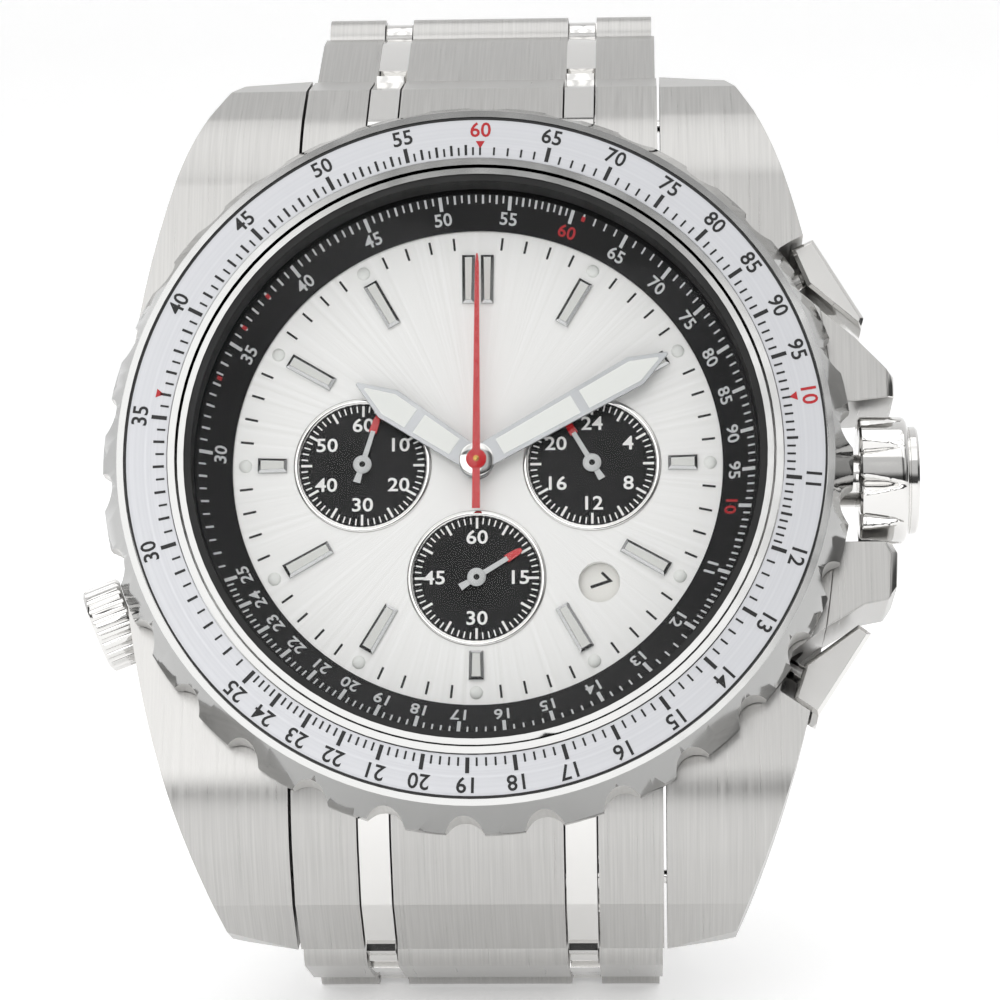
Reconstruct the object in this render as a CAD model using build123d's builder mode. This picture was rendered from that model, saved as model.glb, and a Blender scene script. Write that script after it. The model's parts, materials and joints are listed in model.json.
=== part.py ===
"""A steel chronograph wristwatch: a closed bracelet standing upright, leaning back.

The head is drawn in its own frame: the dial's plane is XY with 12 o'clock on +Y and
3 o'clock (the crown) on +X, Z comes out of the dial, and Z = 0 is the top of the bezel
insert. write() turns each finished piece into the standing frame and saves it.
Lengths are in millimetres, angles in degrees.
"""
from build123d import *
from math import atan2, cos, degrees, hypot, pi, radians, sin
import os

os.makedirs("parts", exist_ok=True)

# ---------------------------------------------------------------- driving dimensions
LEAN = 20.0                 # the dial leans back this far from upright
HEAD_SHIFT = (-1.325, -24.822)          # centres the whole watch over the origin, in X and Y

BEZEL_R = 24.35             # over the lobes
BEZEL_TOP_R = 23.05
INSERT_R, INSERT_IN_R = 22.55, 19.8
LOBES = 30
BEZEL_BASE_Z = -4.2
CRYSTAL_R, CRYSTAL_T = 18.3, 1.7
NECK_IN_R, NECK_R = 18.75, 19.15
RING_IN_R, RING_R = 15.95, 18.6
RING_TOP_Z, RING_BASE_Z = -2.2, -4.2
DIAL_R, DIAL_Z, DIAL_T = 17.5, -3.68, 0.4
SUBDIAL_R = 4.34
SMALL_SECONDS = (-7.47, 0.0)
DAY_HOURS = (7.47, 0.0)
MINUTE_COUNTER = (0.0, -7.58)
DATE_WINDOW, DATE_WINDOW_R = (7.9, -7.9), 1.33

DECK_Z, CASE_BASE_Z, BACK_Z = -4.4, -12.9, -14.6
CASE_HALF_X, FLANK_R = 23.3, 67.9
LUG_GAP = 24.2              # between a pair of lugs
LUG_TIP_Y = 30.35
SPRING_BAR = (25.9, -11.0)  # (|y|, z) of the bar that holds an end link
STEM_Y, STEM_Z = -0.3, -7.6
CROWN_R, CROWN_IN_X, CROWN_OUT_X = 4.2, 24.75, 28.0
CROWN_CAP_R, CROWN_CAP_X = 3.45, 28.75
PUSH_ANGLE, PUSH_TRAVEL = 32.5, 0.55
RING_CROWN_ANGLE, RING_CROWN_R = 202.0, 2.85
RING_CROWN_IN, RING_CROWN_OUT = 24.2, 27.1

LINK_PITCH, LINK_R = 10.0, 1.7          # pin to pin, and half the thickness
LINK_WIDTH, LINK_TAPER = 23.6, 0.4      # width at the case, and loss for each row
CENTRE_HALF, STRIP_OUT = 5.6, 7.65      # centre block and polished strip, along X
FIRST_PIN = (29.5, -15.1)               # (|y|, z) of the end links' pins
HEADINGS_12 = (46, 14, -16, -46, -70)   # each row's angle outward of straight back
HEADINGS_6 = (0, -20, -20)
GAP = 0.12                              # running gap between neighbouring rows


# ---------------------------------------------------------------- helpers
def stand_frame():
    """The location that stands the head frame up: 12 o'clock up, dial towards -Y."""
    turn = 90 - LEAN
    floor_pin = row_pins(HEADINGS_6, -1)[1]
    drop = floor_pin[0] * sin(radians(turn)) + floor_pin[1] * cos(radians(turn)) - LINK_R
    return Location((*HEAD_SHIFT, -drop), (turn, 0, 0))


def row_pins(headings, side):
    """The (y, z) of every pin down one side of the bracelet."""
    y, z = side * FIRST_PIN[0], FIRST_PIN[1]
    pins = [(y, z)]
    for heading in headings:
        y += side * LINK_PITCH * sin(radians(heading))
        z -= LINK_PITCH * cos(radians(heading))
        pins.append((y, z))
    return pins


def write(piece, name):
    """Label a finished piece, stand it up and save it."""
    piece.part.label = name
    standing = piece.part.moved(STAND)
    standing.label = name
    export_step(standing, f"parts/{name}.step")


def polar(radius, angle):
    """The point at a radius and an angle from 3 o'clock, towards 12."""
    return (radius * cos(radians(angle)), radius * sin(radians(angle)))


def ring(outer, inner, low, high, at=(0, 0)):
    """Add a flat ring between two heights to the part that is being built."""
    with BuildSketch(Plane.XY.offset(low)) as face:
        with Locations(at):
            Circle(outer)
            if inner:
                Circle(inner, mode=Mode.SUBTRACT)
    extrude(face.sketch, amount=high - low)


def hole(radius, low, high, at=(0, 0)):
    """Cut a round hole between two heights."""
    with BuildSketch(Plane.XY.offset(low)) as face:
        with Locations(at):
            Circle(radius)
    extrude(face.sketch, amount=high - low, mode=Mode.SUBTRACT)


def turned(section):
    """Add the solid that a (radius, z) section sweeps round the dial's axis."""
    with BuildSketch(Plane.XZ) as face:
        with BuildLine():
            Polyline(*section, close=True)
        make_face()
    revolve(face.sketch, axis=Axis.Z)


def plate(outline, low, high, mode=Mode.ADD):
    """Add or cut a flat plate with a straight-sided outline."""
    with BuildSketch(Plane.XY.offset(low)) as face:
        with BuildLine():
            Polyline(*outline, close=True)
        make_face()
    extrude(face.sketch, amount=high - low, mode=mode)


def gear_outline(teeth, module, phase=0.0, at=(0, 0)):
    """The corners of a straight-sided gear; one tooth's middle is at the phase angle."""
    pitch = 360 / teeth
    tip, root = module * (teeth / 2 + 0.85), module * (teeth / 2 - 1.15)
    points = []
    for tooth in range(teeth):
        middle = phase + tooth * pitch
        corners = ((root, -0.30), (tip, -0.12), (tip, 0.12), (root, 0.30))
        for radius, share in corners:
            x, y = polar(radius, middle + share * pitch)
            points.append((at[0] + x, at[1] + y))
    return points


def mesh_phase(gear_teeth, gear_phase, pinion_teeth, direction):
    """The phase that puts a pinion in mesh with a gear that lies towards a direction."""
    from_tooth = (direction - gear_phase) * gear_teeth / 360
    return direction + 180 + (from_tooth + 0.5) * 360 / pinion_teeth


def tube_plane(angle, distance, z=STEM_Z, y=0.0):
    """A plane whose normal runs out from the case along an angle."""
    x_, y_ = polar(distance, angle)
    return Plane(origin=(x_, y_ + y, z), x_dir=(0, 0, 1), z_dir=(*polar(1, angle), 0))


def rod(radius, start, end, angle=0.0, y=0.0, z=STEM_Z, inner=0.0, mode=Mode.ADD):
    """Add or cut a round rod, or a tube, that runs out from the case."""
    with BuildSketch(tube_plane(angle, start, z, y)) as face:
        Circle(radius)
        if inner:
            Circle(inner, mode=Mode.SUBTRACT)
    extrude(face.sketch, amount=end - start, mode=mode)


STAND = stand_frame()

# ---------------------------------------------------------------- case
pusher_start = [(20.7, 15.1), (22.15, 15.8), (25.4, 10.3), (25.2, 9.5), (21.7, 12.6)]
pusher_reset = [(20.3, -15.3), (21.9, -16.4), (25.4, -11.0), (24.6, -10.4), (21.1, -12.95)]
PUSHER_LOW, PUSHER_HIGH = -10.4, -5.4


def flank(y):
    """How far the case's flank stands out at a height up the dial."""
    return CASE_HALF_X - (FLANK_R - (FLANK_R**2 - y**2) ** 0.5)


with BuildPart() as case_middle:
    with BuildSketch(Plane.XY.offset(-16)):
        with BuildLine():
            right = ThreePointArc((flank(29.4), -29.4), (CASE_HALF_X, 0), (flank(29.4), 29.4))
            Polyline(right @ 1, (12.0, LUG_TIP_Y), (-12.0, LUG_TIP_Y), (-flank(29.4), 29.4))
            ThreePointArc((-flank(29.4), 29.4), (-CASE_HALF_X, 0), (-flank(29.4), -29.4))
            Polyline((-flank(29.4), -29.4), (-12.0, -LUG_TIP_Y), (12.0, -LUG_TIP_Y), right @ 0)
        make_face()
    extrude(amount=16 + DECK_Z)
    with BuildSketch(Plane.YZ):
        with BuildLine():
            half = [(22.2, DECK_Z), (25.3, -6.5), (28.0, -8.9), (LUG_TIP_Y, -13.1),
                    (29.6, -14.6), (27.4, -14.9), (23.5, -13.2), (20.5, CASE_BASE_Z)]
            Polyline(*half, *[(-y, z) for y, z in reversed(half)], close=True)
        make_face()
    extrude(amount=30, both=True, mode=Mode.INTERSECT)
    with BuildSketch(Plane.XY.offset(-16)):
        with GridLocations(0, 60, 1, 2):
            Rectangle(LUG_GAP, 30)
        Circle(22.5, mode=Mode.SUBTRACT)
    extrude(amount=16, mode=Mode.SUBTRACT)
    ring(NECK_R, NECK_IN_R, DECK_Z, -0.15)
    hole(NECK_IN_R, -16, 1)
    ring(20.0, 19.0, CASE_BASE_Z - 1, CASE_BASE_Z - 0.5)
    with BuildSketch(Plane.XY.offset(CASE_BASE_Z - 2)):
        Circle(20.5)
    extrude(amount=2, mode=Mode.SUBTRACT)
    with BuildSketch(Plane.XY.offset(CASE_BASE_Z)):
        Circle(19.75)
        Circle(18.95, mode=Mode.SUBTRACT)
    extrude(amount=0.5, mode=Mode.SUBTRACT)
    for side in (-1, 1):
        with BuildSketch(Plane.YZ):
            with Locations((side * SPRING_BAR[0], SPRING_BAR[1])):
                Circle(0.5)
        extrude(amount=LUG_GAP / 2 + 1.6, both=True, mode=Mode.SUBTRACT)
    for outline, angle in ((pusher_start, PUSH_ANGLE), (pusher_reset, -PUSH_ANGLE)):
        dx, dy = polar(PUSH_TRAVEL + 0.25, angle + 180)
        with BuildSketch(Plane.XY.offset(PUSHER_LOW - 0.2)):
            with BuildLine():
                Polyline(*outline, close=True)
            make_face()
            with BuildLine():
                Polyline(*[(x + dx, y + dy) for x, y in outline], close=True)
            make_face()
            make_hull()
            offset(amount=0.2)
        extrude(amount=16, mode=Mode.SUBTRACT)
        rod(1.35, 17, 28, angle, mode=Mode.SUBTRACT)
    rod(2.0, 17, 25, 0, STEM_Y, mode=Mode.SUBTRACT)
    rod(1.1, 17, 25, RING_CROWN_ANGLE, mode=Mode.SUBTRACT)
    rod(RING_CROWN_R + 0.25, RING_CROWN_IN - 0.5, 30, RING_CROWN_ANGLE, mode=Mode.SUBTRACT)
write(case_middle, "case_middle")

with BuildPart() as case_back:
    ring(20.2, 0, BACK_Z, CASE_BASE_Z - 0.05)
    ring(18.65, 17.6, CASE_BASE_Z - 0.05, CASE_BASE_Z + 0.9)
    chamfer(case_back.faces().sort_by(Axis.Z)[0].edges(), 0.5)
    with BuildSketch(Plane.XY.offset(BACK_Z)):
        with PolarLocations(17.6, 6):
            Rectangle(1.6, 2.6)
    extrude(amount=0.5, mode=Mode.SUBTRACT)
write(case_back, "case_back")

with BuildPart() as back_gasket:
    ring(19.65, 19.05, CASE_BASE_Z - 0.02, CASE_BASE_Z + 0.42)
write(back_gasket, "back_gasket")

with BuildPart() as crystal_gasket:
    ring(NECK_IN_R, CRYSTAL_R, -1.9, -0.25)
write(crystal_gasket, "crystal_gasket")

with BuildPart() as crystal:
    ring(CRYSTAL_R, 0, -0.05 - CRYSTAL_T, -0.05)
    chamfer(crystal.faces().sort_by(Axis.Z)[-1].edges(), 0.18)
write(crystal, "crystal")

# The two halves of the guard stand either side of the crown.
guard_upper = [(20.9, 12.0), (24.7, 8.7), (26.4, 6.9), (27.2, 6.0), (27.2, 4.6), (24.6, 4.3), (21.0, 4.3)]
guard_lower = [(21.0, -5.1), (24.6, -5.1), (26.8, -5.1), (27.2, -5.8), (27.1, -8.1), (26.5, -9.0),
               (25.0, -9.3), (20.9, -11.75)]
with BuildPart() as crown_guard:
    for outline in (guard_upper, guard_lower):
        plate(outline, -11.2, -4.6)
    fold = crown_guard.faces().filter_by(Axis.Z).group_by(Axis.Z)[-1].edges()
    chamfer(fold.filter_by(lambda edge: edge.center().X > 26.9), 0.4)
    with BuildSketch(Plane.XY.offset(-16)):
        with BuildLine():
            bow = ThreePointArc((flank(20), -20), (CASE_HALF_X, 0), (flank(20), 20))
            Polyline(bow @ 1, (0, 20), (0, -20), bow @ 0)
        make_face()
    extrude(amount=16, mode=Mode.SUBTRACT)
write(crown_guard, "crown_guard")

# ---------------------------------------------------------------- bezel
with BuildPart() as bezel:
    turned([(19.3, 0.1), (19.75, 0.1), (19.75, -0.55), (22.62, -0.55), (22.62, 0.04),
            (BEZEL_TOP_R, 0.04), (BEZEL_R, -2.9), (BEZEL_R, -3.9), (BEZEL_R - 0.3, BEZEL_BASE_Z),
            (21.95, BEZEL_BASE_Z), (21.95, -3.55), (20.85, -3.55), (20.85, BEZEL_BASE_Z),
            (19.3, BEZEL_BASE_Z)])
    with BuildSketch(Plane.XY.offset(-5)):
        with PolarLocations(24.85, LOBES, start_angle=-90 - 1.5):
            Circle(1.35)
    extrude(amount=6, mode=Mode.SUBTRACT)
write(bezel, "bezel")

with BuildPart() as bezel_insert:
    ring(INSERT_R, INSERT_IN_R, -0.53, -0.02)
write(bezel_insert, "bezel_insert")

# A flat spring under the bezel holds it down and gives it its drag.
with BuildPart() as bezel_spring:
    ring(21.8, 21.0, DECK_Z, -3.75)
write(bezel_spring, "bezel_spring")

# ---------------------------------------------------------------- inner ring and its crown
RING_TEETH, RING_PINION_TEETH = 62, 10
RING_PITCH_R = 18.15
ring_module = 2 * RING_PITCH_R / RING_TEETH
ring_pinion_r = ring_module * RING_PINION_TEETH / 2
RING_MESH_Z = STEM_Z + ring_pinion_r

with BuildPart() as slide_rule_ring:
    turned([(RING_IN_R, -3.62), (RING_IN_R, -3.5), (18.05, RING_TOP_Z), (RING_R, RING_TOP_Z),
            (RING_R, RING_BASE_Z), (17.7, RING_BASE_Z), (17.7, -3.62)])
    tooth = 2 * pi * RING_PITCH_R / RING_TEETH
    with BuildSketch(Plane.XY.offset(RING_BASE_Z)):
        with PolarLocations(RING_PITCH_R, RING_TEETH, start_angle=RING_CROWN_ANGLE):
            Rectangle(0.8, 0.42 * tooth)
    extrude(amount=-0.85 * ring_module - (RING_BASE_Z - RING_MESH_Z), taper=12)
write(slide_rule_ring, "slide_rule_ring")

with BuildPart() as ring_pinion:
    with BuildSketch(tube_plane(RING_CROWN_ANGLE, 17.55)):
        with BuildLine():
            half_tooth = 180 / RING_PINION_TEETH
            Polyline(*gear_outline(RING_PINION_TEETH, ring_module, half_tooth), close=True)
        make_face()
    extrude(amount=0.75)
    rod(0.6, 18.3, RING_CROWN_IN + 0.3, RING_CROWN_ANGLE)
write(ring_pinion, "ring_pinion")

with BuildPart() as ring_crown:
    rod(RING_CROWN_R, RING_CROWN_IN + 0.3, RING_CROWN_OUT, RING_CROWN_ANGLE)
    chamfer(ring_crown.edges().filter_by(GeomType.CIRCLE), 0.25)
    with BuildSketch(tube_plane(RING_CROWN_ANGLE, RING_CROWN_IN)):
        with PolarLocations(RING_CROWN_R + 0.12, 24):
            Circle(0.26)
    extrude(amount=5, mode=Mode.SUBTRACT)
write(ring_crown, "ring_crown")

# ---------------------------------------------------------------- crown, stem and pushers
with BuildPart() as crown:
    rod(CROWN_R, CROWN_IN_X, CROWN_OUT_X, 0, STEM_Y)
    chamfer(crown.edges().filter_by(GeomType.CIRCLE), 0.35)
    with BuildSketch(tube_plane(0, CROWN_IN_X - 1, STEM_Z, STEM_Y)):
        with PolarLocations(CROWN_R + 0.25, 10, start_angle=18):
            Circle(0.55)
    extrude(amount=6, mode=Mode.SUBTRACT)
    rod(CROWN_CAP_R, CROWN_OUT_X, CROWN_CAP_X, 0, STEM_Y)
    rod(1.9, CROWN_IN_X, CROWN_IN_X + 2.2, 0, STEM_Y, mode=Mode.SUBTRACT)
write(crown, "crown")

STEM_IN_X = 13.2
with BuildPart() as winding_stem:
    rod(0.55, STEM_IN_X, CROWN_IN_X + 2.2, 0, STEM_Y)
    with BuildSketch(tube_plane(0, 14.4, STEM_Z, STEM_Y)):
        Circle(0.8)
        Circle(0.35, mode=Mode.SUBTRACT)
    extrude(amount=0.8, mode=Mode.SUBTRACT)
write(winding_stem, "winding_stem")

with BuildPart() as setting_lever:
    with BuildSketch(Plane.XY.offset(STEM_Z - 1.3)):
        with Locations((14.8, STEM_Y - 0.7)):
            Rectangle(0.5, 2.6)
    extrude(amount=2.0)
    with BuildSketch(Plane.XY.offset(STEM_Z - 0.45)):
        with Locations((14.8, STEM_Y + 0.45)):
            Rectangle(0.6, 1.7)
    extrude(amount=2.6, mode=Mode.SUBTRACT)
write(setting_lever, "setting_lever")


def make_pusher(name, outline, angle):
    """A wedge-shaped button on a round stem that enters the case through its tube."""
    with BuildPart() as pusher:
        plate(outline, PUSHER_LOW, PUSHER_HIGH)
        chamfer(pusher.faces().sort_by(Axis.Z)[-1].edges(), 0.25)
        rod(0.6, 18.8, 25.6, angle)
    write(pusher, name)


def make_pusher_spring(name, angle):
    """The return spring round a pusher's stem, as a sleeve of its outer size."""
    with BuildPart() as spring:
        rod(1.0, 20.55, 22.6, angle, inner=0.7)
    write(spring, name)


for word, outline, angle in (("start", pusher_start, PUSH_ANGLE), ("reset", pusher_reset, -PUSH_ANGLE)):
    make_pusher(f"{word}_pusher", outline, angle)
    make_pusher_spring(f"{word}_spring", angle)

# The tubes that the stems enter by; a button's tube has a floor that its spring rests on.
with BuildPart() as case_tubes:
    rod(1.75, 19.2, CROWN_IN_X + 1.6, 0, STEM_Y, inner=0.65)
    for angle in (PUSH_ANGLE, -PUSH_ANGLE):
        rod(1.3, 19.2, 21.8, angle, inner=1.05)
        rod(1.3, 19.2, 20.5, angle, inner=0.66)
    rod(1.05, 19.2, 24.2, RING_CROWN_ANGLE, inner=0.66)
write(case_tubes, "case_tubes")

# ---------------------------------------------------------------- dial and what is on it
with BuildPart() as dial:
    ring(DIAL_R, 0, DIAL_Z - DIAL_T, DIAL_Z)
    hole(1.0, -5, -3)
    for spot in (SMALL_SECONDS, DAY_HOURS, MINUTE_COUNTER):
        hole(SUBDIAL_R, DIAL_Z - 0.1, -3, spot)
        hole(0.3, -5, -3, spot)
    hole(DATE_WINDOW_R, -5, -3, DATE_WINDOW)
write(dial, "dial")

with BuildPart() as subdial_rims:
    for spot in (SMALL_SECONDS, DAY_HOURS, MINUTE_COUNTER):
        ring(SUBDIAL_R - 0.01, SUBDIAL_R - 0.16, DIAL_Z - 0.1, DIAL_Z + 0.08, spot)
write(subdial_rims, "subdial_rims")

with BuildPart() as hour_markers:
    for hour in range(1, 12):
        short = hour % 3 == 0
        length, middle = (1.9, 13.35) if short else (3.3, 12.6)
        with BuildSketch(Plane.XY.offset(DIAL_Z)):
            with Locations(Location((*polar(middle, 90 - 30 * hour), 0), 90 - 30 * hour)):
                Rectangle(length, 0.95)
        extrude(amount=0.3)
    for side in (-0.62, 0.62):
        with BuildSketch(Plane.XY.offset(DIAL_Z)):
            with Locations((side, 12.6)):
                Rectangle(0.85, 3.3)
        extrude(amount=0.3)
write(hour_markers, "hour_markers")

with BuildPart() as date_disc:
    ring(13.1, 9.3, -4.5, -4.25)
write(date_disc, "date_disc")


def hand(angle, outline, height, thickness, boss, bore, at=(0, 0)):
    """Add a flat hand and its boss; the outline is (along, half width) from the pivot."""
    direction = 90 - angle
    corners = outline + [(along, -half) for along, half in reversed(outline)]
    points = []
    for along, across in corners:
        (ax, ay), (bx, by) = polar(along, direction), polar(across, direction + 90)
        points.append((at[0] + ax + bx, at[1] + ay + by))
    plate(points, height, height + thickness)
    ring(boss, 0, height, height + thickness, at)
    if bore:
        hole(bore, height - 1, height + thickness + 1, at)


HOUR_ANGLE, MINUTE_ANGLE = 304.0, 60.3
HOUR_HAND = [(-0.9, 0.6), (0.9, 0.85), (7.0, 1.1), (9.5, 0.08)]
MINUTE_HAND = [(-0.9, 0.6), (0.9, 0.85), (11.9, 1.05), (14.3, 0.08)]
CHRONO_HAND = [(-3.45, 0.28), (-0.4, 0.28), (0.5, 0.42), (10.0, 0.26), (14.0, 0.08)]
SMALL_HAND = [(-0.9, 0.35), (-0.5, 0.22), (0.5, 0.24), (3.3, 0.12), (3.45, 0.05)]

with BuildPart() as hour_hand:
    hand(HOUR_ANGLE, HOUR_HAND, -2.95, 0.16, 1.15, 0.5)
    ring(0.8, 0.5, -4.6, -2.95)
write(hour_hand, "hour_hand")

with BuildPart() as minute_hand:
    hand(MINUTE_ANGLE, MINUTE_HAND, -2.6, 0.16, 1.0, 0.24)
    ring(0.44, 0.24, -4.45, -2.6)
write(minute_hand, "minute_hand")

with BuildPart() as chrono_hand:
    hand(0.0, CHRONO_HAND, -2.25, 0.14, 0.72, 0)
    ring(0.18, 0, -10.4, -2.25)
write(chrono_hand, "chrono_hand")

for name, spot, angle, depth in (("small_seconds_hand", SMALL_SECONDS, 16.7, -7.0),
                                 ("day_hour_hand", DAY_HOURS, -30.7, -5.6),
                                 ("minute_counter_hand", MINUTE_COUNTER, 58.0, -5.6)):
    with BuildPart() as small_hand:
        hand(angle, SMALL_HAND, -3.45, 0.12, 0.6, 0, spot)
        ring(0.2, 0, depth, -3.45, spot)
    write(small_hand, name)

# ---------------------------------------------------------------- movement
BRIDGE_LOW, BRIDGE_HIGH = -11.6, -10.9
THIRD = (-4.226, 3.362)
ESCAPE = (-8.97, -4.13)
BALANCE = (-3.5, -9.0)
BARREL = (6.0, 0.0)
FORK = (-6.95, -6.1)

with BuildPart() as movement_ring:
    ring(NECK_IN_R - 0.1, 15.7, -11.8, -5.2)
    for angle, half in ((0, 2.4), (PUSH_ANGLE, 1.5), (-PUSH_ANGLE, 1.5), (RING_CROWN_ANGLE, 3.6)):
        with BuildSketch(Plane(origin=(0, 0, STEM_Z), z_dir=(*polar(1, angle), 0), x_dir=(0, 0, 1))):
            Rectangle(2 * half + 1.2, 2 * half)
        extrude(amount=20, mode=Mode.SUBTRACT)
write(movement_ring, "movement_ring")

with BuildPart() as main_plate:
    ring(15.5, 0, -6.7, -5.8)
    ring(15.5, 13.3, -5.8, -4.6)
    ring(9.1, 8.85, -5.8, -4.2)
    for spot in (SMALL_SECONDS, DAY_HOURS, MINUTE_COUNTER):
        hole(0.26, -8, -4, spot)
    hole(0.55, -8, -4)
    for spot in (THIRD, ESCAPE, FORK, BALANCE):
        hole(0.22, -8, -4, spot)
    hole(0.45, -8, -4, BARREL)
    ring(1.2, 0, BRIDGE_LOW + 0.75, -6.7, polar(14.2, 75))
    ring(1.2, 0, BRIDGE_LOW + 0.75, -6.7, polar(14.2, 150))
    ring(1.2, 0, BRIDGE_LOW + 0.75, -6.7, polar(14.2, -60))
    ring(1.2, 0, BRIDGE_LOW + 0.75, -6.7, polar(14.2, 222))
write(main_plate, "main_plate")

with BuildPart() as hour_wheel:
    plate(gear_outline(40, 0.1536), -4.9, -4.65)
    ring(0.95, 0, -4.65, -4.6)
    hole(0.5, -6, -4)
write(hour_wheel, "hour_wheel")

# The minute wheel turns between the cannon pinion and the hour wheel.
MINUTE_WHEEL = polar(3.84, 120)
with BuildPart() as minute_wheel:
    plate(gear_outline(36, 0.16, mesh_phase(12, 0, 36, 120), MINUTE_WHEEL), -5.5, -5.2)
    plate(gear_outline(10, 0.1536, mesh_phase(40, 0, 10, 120), MINUTE_WHEEL), -5.2, -4.6)
    ring(0.2, 0, -5.75, -5.5, MINUTE_WHEEL)
write(minute_wheel, "minute_wheel")

# The minute hand's pinion grips by friction, so the hands can be set while the train stands.
with BuildPart() as cannon_pinion:
    plate(gear_outline(12, 0.16), -5.55, -5.1)
    ring(0.44, 0, -5.55, -4.45)
    hole(0.24, -12, -4)
write(cannon_pinion, "cannon_pinion")

with BuildPart() as centre_wheel:
    ring(0.44, 0, -9.0, -5.6)
    plate(gear_outline(80, 0.12), -7.7, -7.45)
    plate(gear_outline(12, 0.13, mesh_phase(80, 0, 12, 180)), -9.0, -8.3)
    hole(0.24, -12, -4)
write(centre_wheel, "centre_wheel")

with BuildPart() as third_wheel:
    toward = 141.5
    plate(gear_outline(10, 0.12, mesh_phase(80, 0, 10, toward), THIRD), -7.75, -7.25)
    plate(gear_outline(75, 0.11, 0, THIRD), -8.35, -8.1)
    ring(0.2, 0, -10.85, -6.2, THIRD)
write(third_wheel, "third_wheel")

fourth_direction = degrees(atan2(SMALL_SECONDS[1] - THIRD[1], SMALL_SECONDS[0] - THIRD[0]))
with BuildPart() as fourth_wheel:
    plate(gear_outline(10, 0.11, mesh_phase(75, 0, 10, fourth_direction), SMALL_SECONDS), -8.45, -8.0)
    plate(gear_outline(80, 0.10, 0, SMALL_SECONDS), -9.1, -8.85)
    ring(0.2, 0, -10.85, -7.0, SMALL_SECONDS)
write(fourth_wheel, "fourth_wheel")

escape_direction = degrees(atan2(ESCAPE[1] - SMALL_SECONDS[1], ESCAPE[0] - SMALL_SECONDS[0]))
with BuildPart() as escape_wheel:
    plate(gear_outline(8, 0.10, mesh_phase(80, 0, 8, escape_direction), ESCAPE), -9.25, -8.7)
    points = []
    for tooth in range(15):
        points += [polar(1.55, 24 * tooth), polar(2.2, 24 * tooth + 9), polar(1.6, 24 * tooth + 11)]
    plate([(ESCAPE[0] + x, ESCAPE[1] + y) for x, y in points], -9.75, -9.55)
    ring(0.16, 0, -10.85, -6.2, ESCAPE)
write(escape_wheel, "escape_wheel")

with BuildPart() as pallet_fork:
    reach = hypot(BALANCE[0] - FORK[0], BALANCE[1] - FORK[1]) - 1.0
    heading = degrees(atan2(BALANCE[1] - FORK[1], BALANCE[0] - FORK[0]))
    with BuildSketch(Plane.XY.offset(-9.95)):
        with Locations(Location((*FORK, 0), heading)):
            with Locations((reach / 2, 0)):
                Rectangle(reach, 0.4)
            Rectangle(0.45, 3.0)
        with Locations(FORK):
            Circle(0.45)
    extrude(amount=0.14)
    ring(0.14, 0, -10.85, -6.2, FORK)
write(pallet_fork, "pallet_fork")

with BuildPart() as balance_wheel:
    ring(3.9, 3.4, -10.3, -10.0, BALANCE)
    with BuildSketch(Plane.XY.offset(-10.25)):
        with Locations(BALANCE):
            Rectangle(7.2, 0.5)
            Circle(0.5)
    extrude(amount=0.2)
    ring(0.15, 0, -11.0, -6.2, BALANCE)
write(balance_wheel, "balance_wheel")


def coil(radius_in, radius_out, turns, width, at):
    """The outline of a flat spiral strip."""
    steps = 14 * turns
    sides = []
    for shift in (0, width):
        side = []
        for step in range(steps + 1):
            radius = radius_in + (radius_out - radius_in) * step / steps + shift
            x, y = polar(radius, 360 * turns * step / steps)
            side.append((at[0] + x, at[1] + y))
        sides.append(side)
    return sides[0] + sides[1][::-1]


with BuildPart() as hairspring:
    plate(coil(0.6, 2.3, 4, 0.12, BALANCE), -10.6, -10.42)
write(hairspring, "hairspring")

with BuildPart() as barrel:
    ring(4.9, 0, -10.3, -8.2, BARREL)
    barrel_phase = mesh_phase(12, mesh_phase(80, 0, 12, 180), 80, 0)
    plate(gear_outline(80, 0.13, barrel_phase, BARREL), -8.9, -8.5)
    hole(0.47, -13, -6, BARREL)
write(barrel, "barrel")

with BuildPart() as ratchet_wheel:
    plate(gear_outline(48, 0.2, 0, BARREL), -12.0, -11.7)
    ring(0.42, 0, -11.7, -6.2, BARREL)
write(ratchet_wheel, "ratchet_wheel")

with BuildPart() as train_bridge:
    with BuildSketch(Plane.XY.offset(BRIDGE_LOW + 0.75 - 0.1)):
        with BuildLine():
            Polyline(polar(15.4, -70), polar(15.4, -35), polar(15.4, 0), polar(15.4, 35),
                     polar(15.4, 70), polar(15.4, 105), polar(15.4, 135), polar(15.4, 160),
                     (-12.5, -1.2), (-5.5, -2.4), (-1.5, -3.5), (1.8, -7.0), close=True)
        make_face()
    extrude(amount=-0.65)
    for spot, radius in ((THIRD, 0.24), (SMALL_SECONDS, 0.24), (BARREL, 0.48)):
        hole(radius, -13, -10, spot)
write(train_bridge, "train_bridge")

with BuildPart() as balance_cock:
    arm = degrees(atan2(BALANCE[1] + 9.5, BALANCE[0] + 10.5))
    with BuildSketch(Plane.XY.offset(BRIDGE_LOW + 0.65)):
        with BuildLine():
            Polyline(polar(15.2, 212), (-9.9, -3.1), (-8.0, -3.3), (-2.6, -8.4), (-2.9, -10.3),
                     (-6.5, -11.0), polar(15.2, 232), close=True)
        make_face()
    extrude(amount=-0.65)
    for spot in (ESCAPE, FORK, BALANCE):
        hole(0.2, -13, -10, spot)
write(balance_cock, "balance_cock")

# ---------------------------------------------------------------- bracelet
def side_plane(pin, heading, side):
    """A plane along a link: X runs from pin to pin, Y is outward, Z is across."""
    along = (0, side * sin(radians(heading)), -cos(radians(heading)))
    return Plane(origin=(0, *pin), x_dir=along, z_dir=(side, 0, 0))


def slab(plane, outline, low, high, mode=Mode.ADD):
    """Extrude a side outline between two distances from the middle, on both sides."""
    for low_, high_ in ((low, high), (-high, -low)) if low else ((-high, high),):
        with BuildSketch(plane.offset(low_)) as face:
            with BuildLine():
                Polyline(*outline, close=True)
            make_face()
        extrude(face.sketch, amount=high_ - low_, mode=mode)


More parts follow.
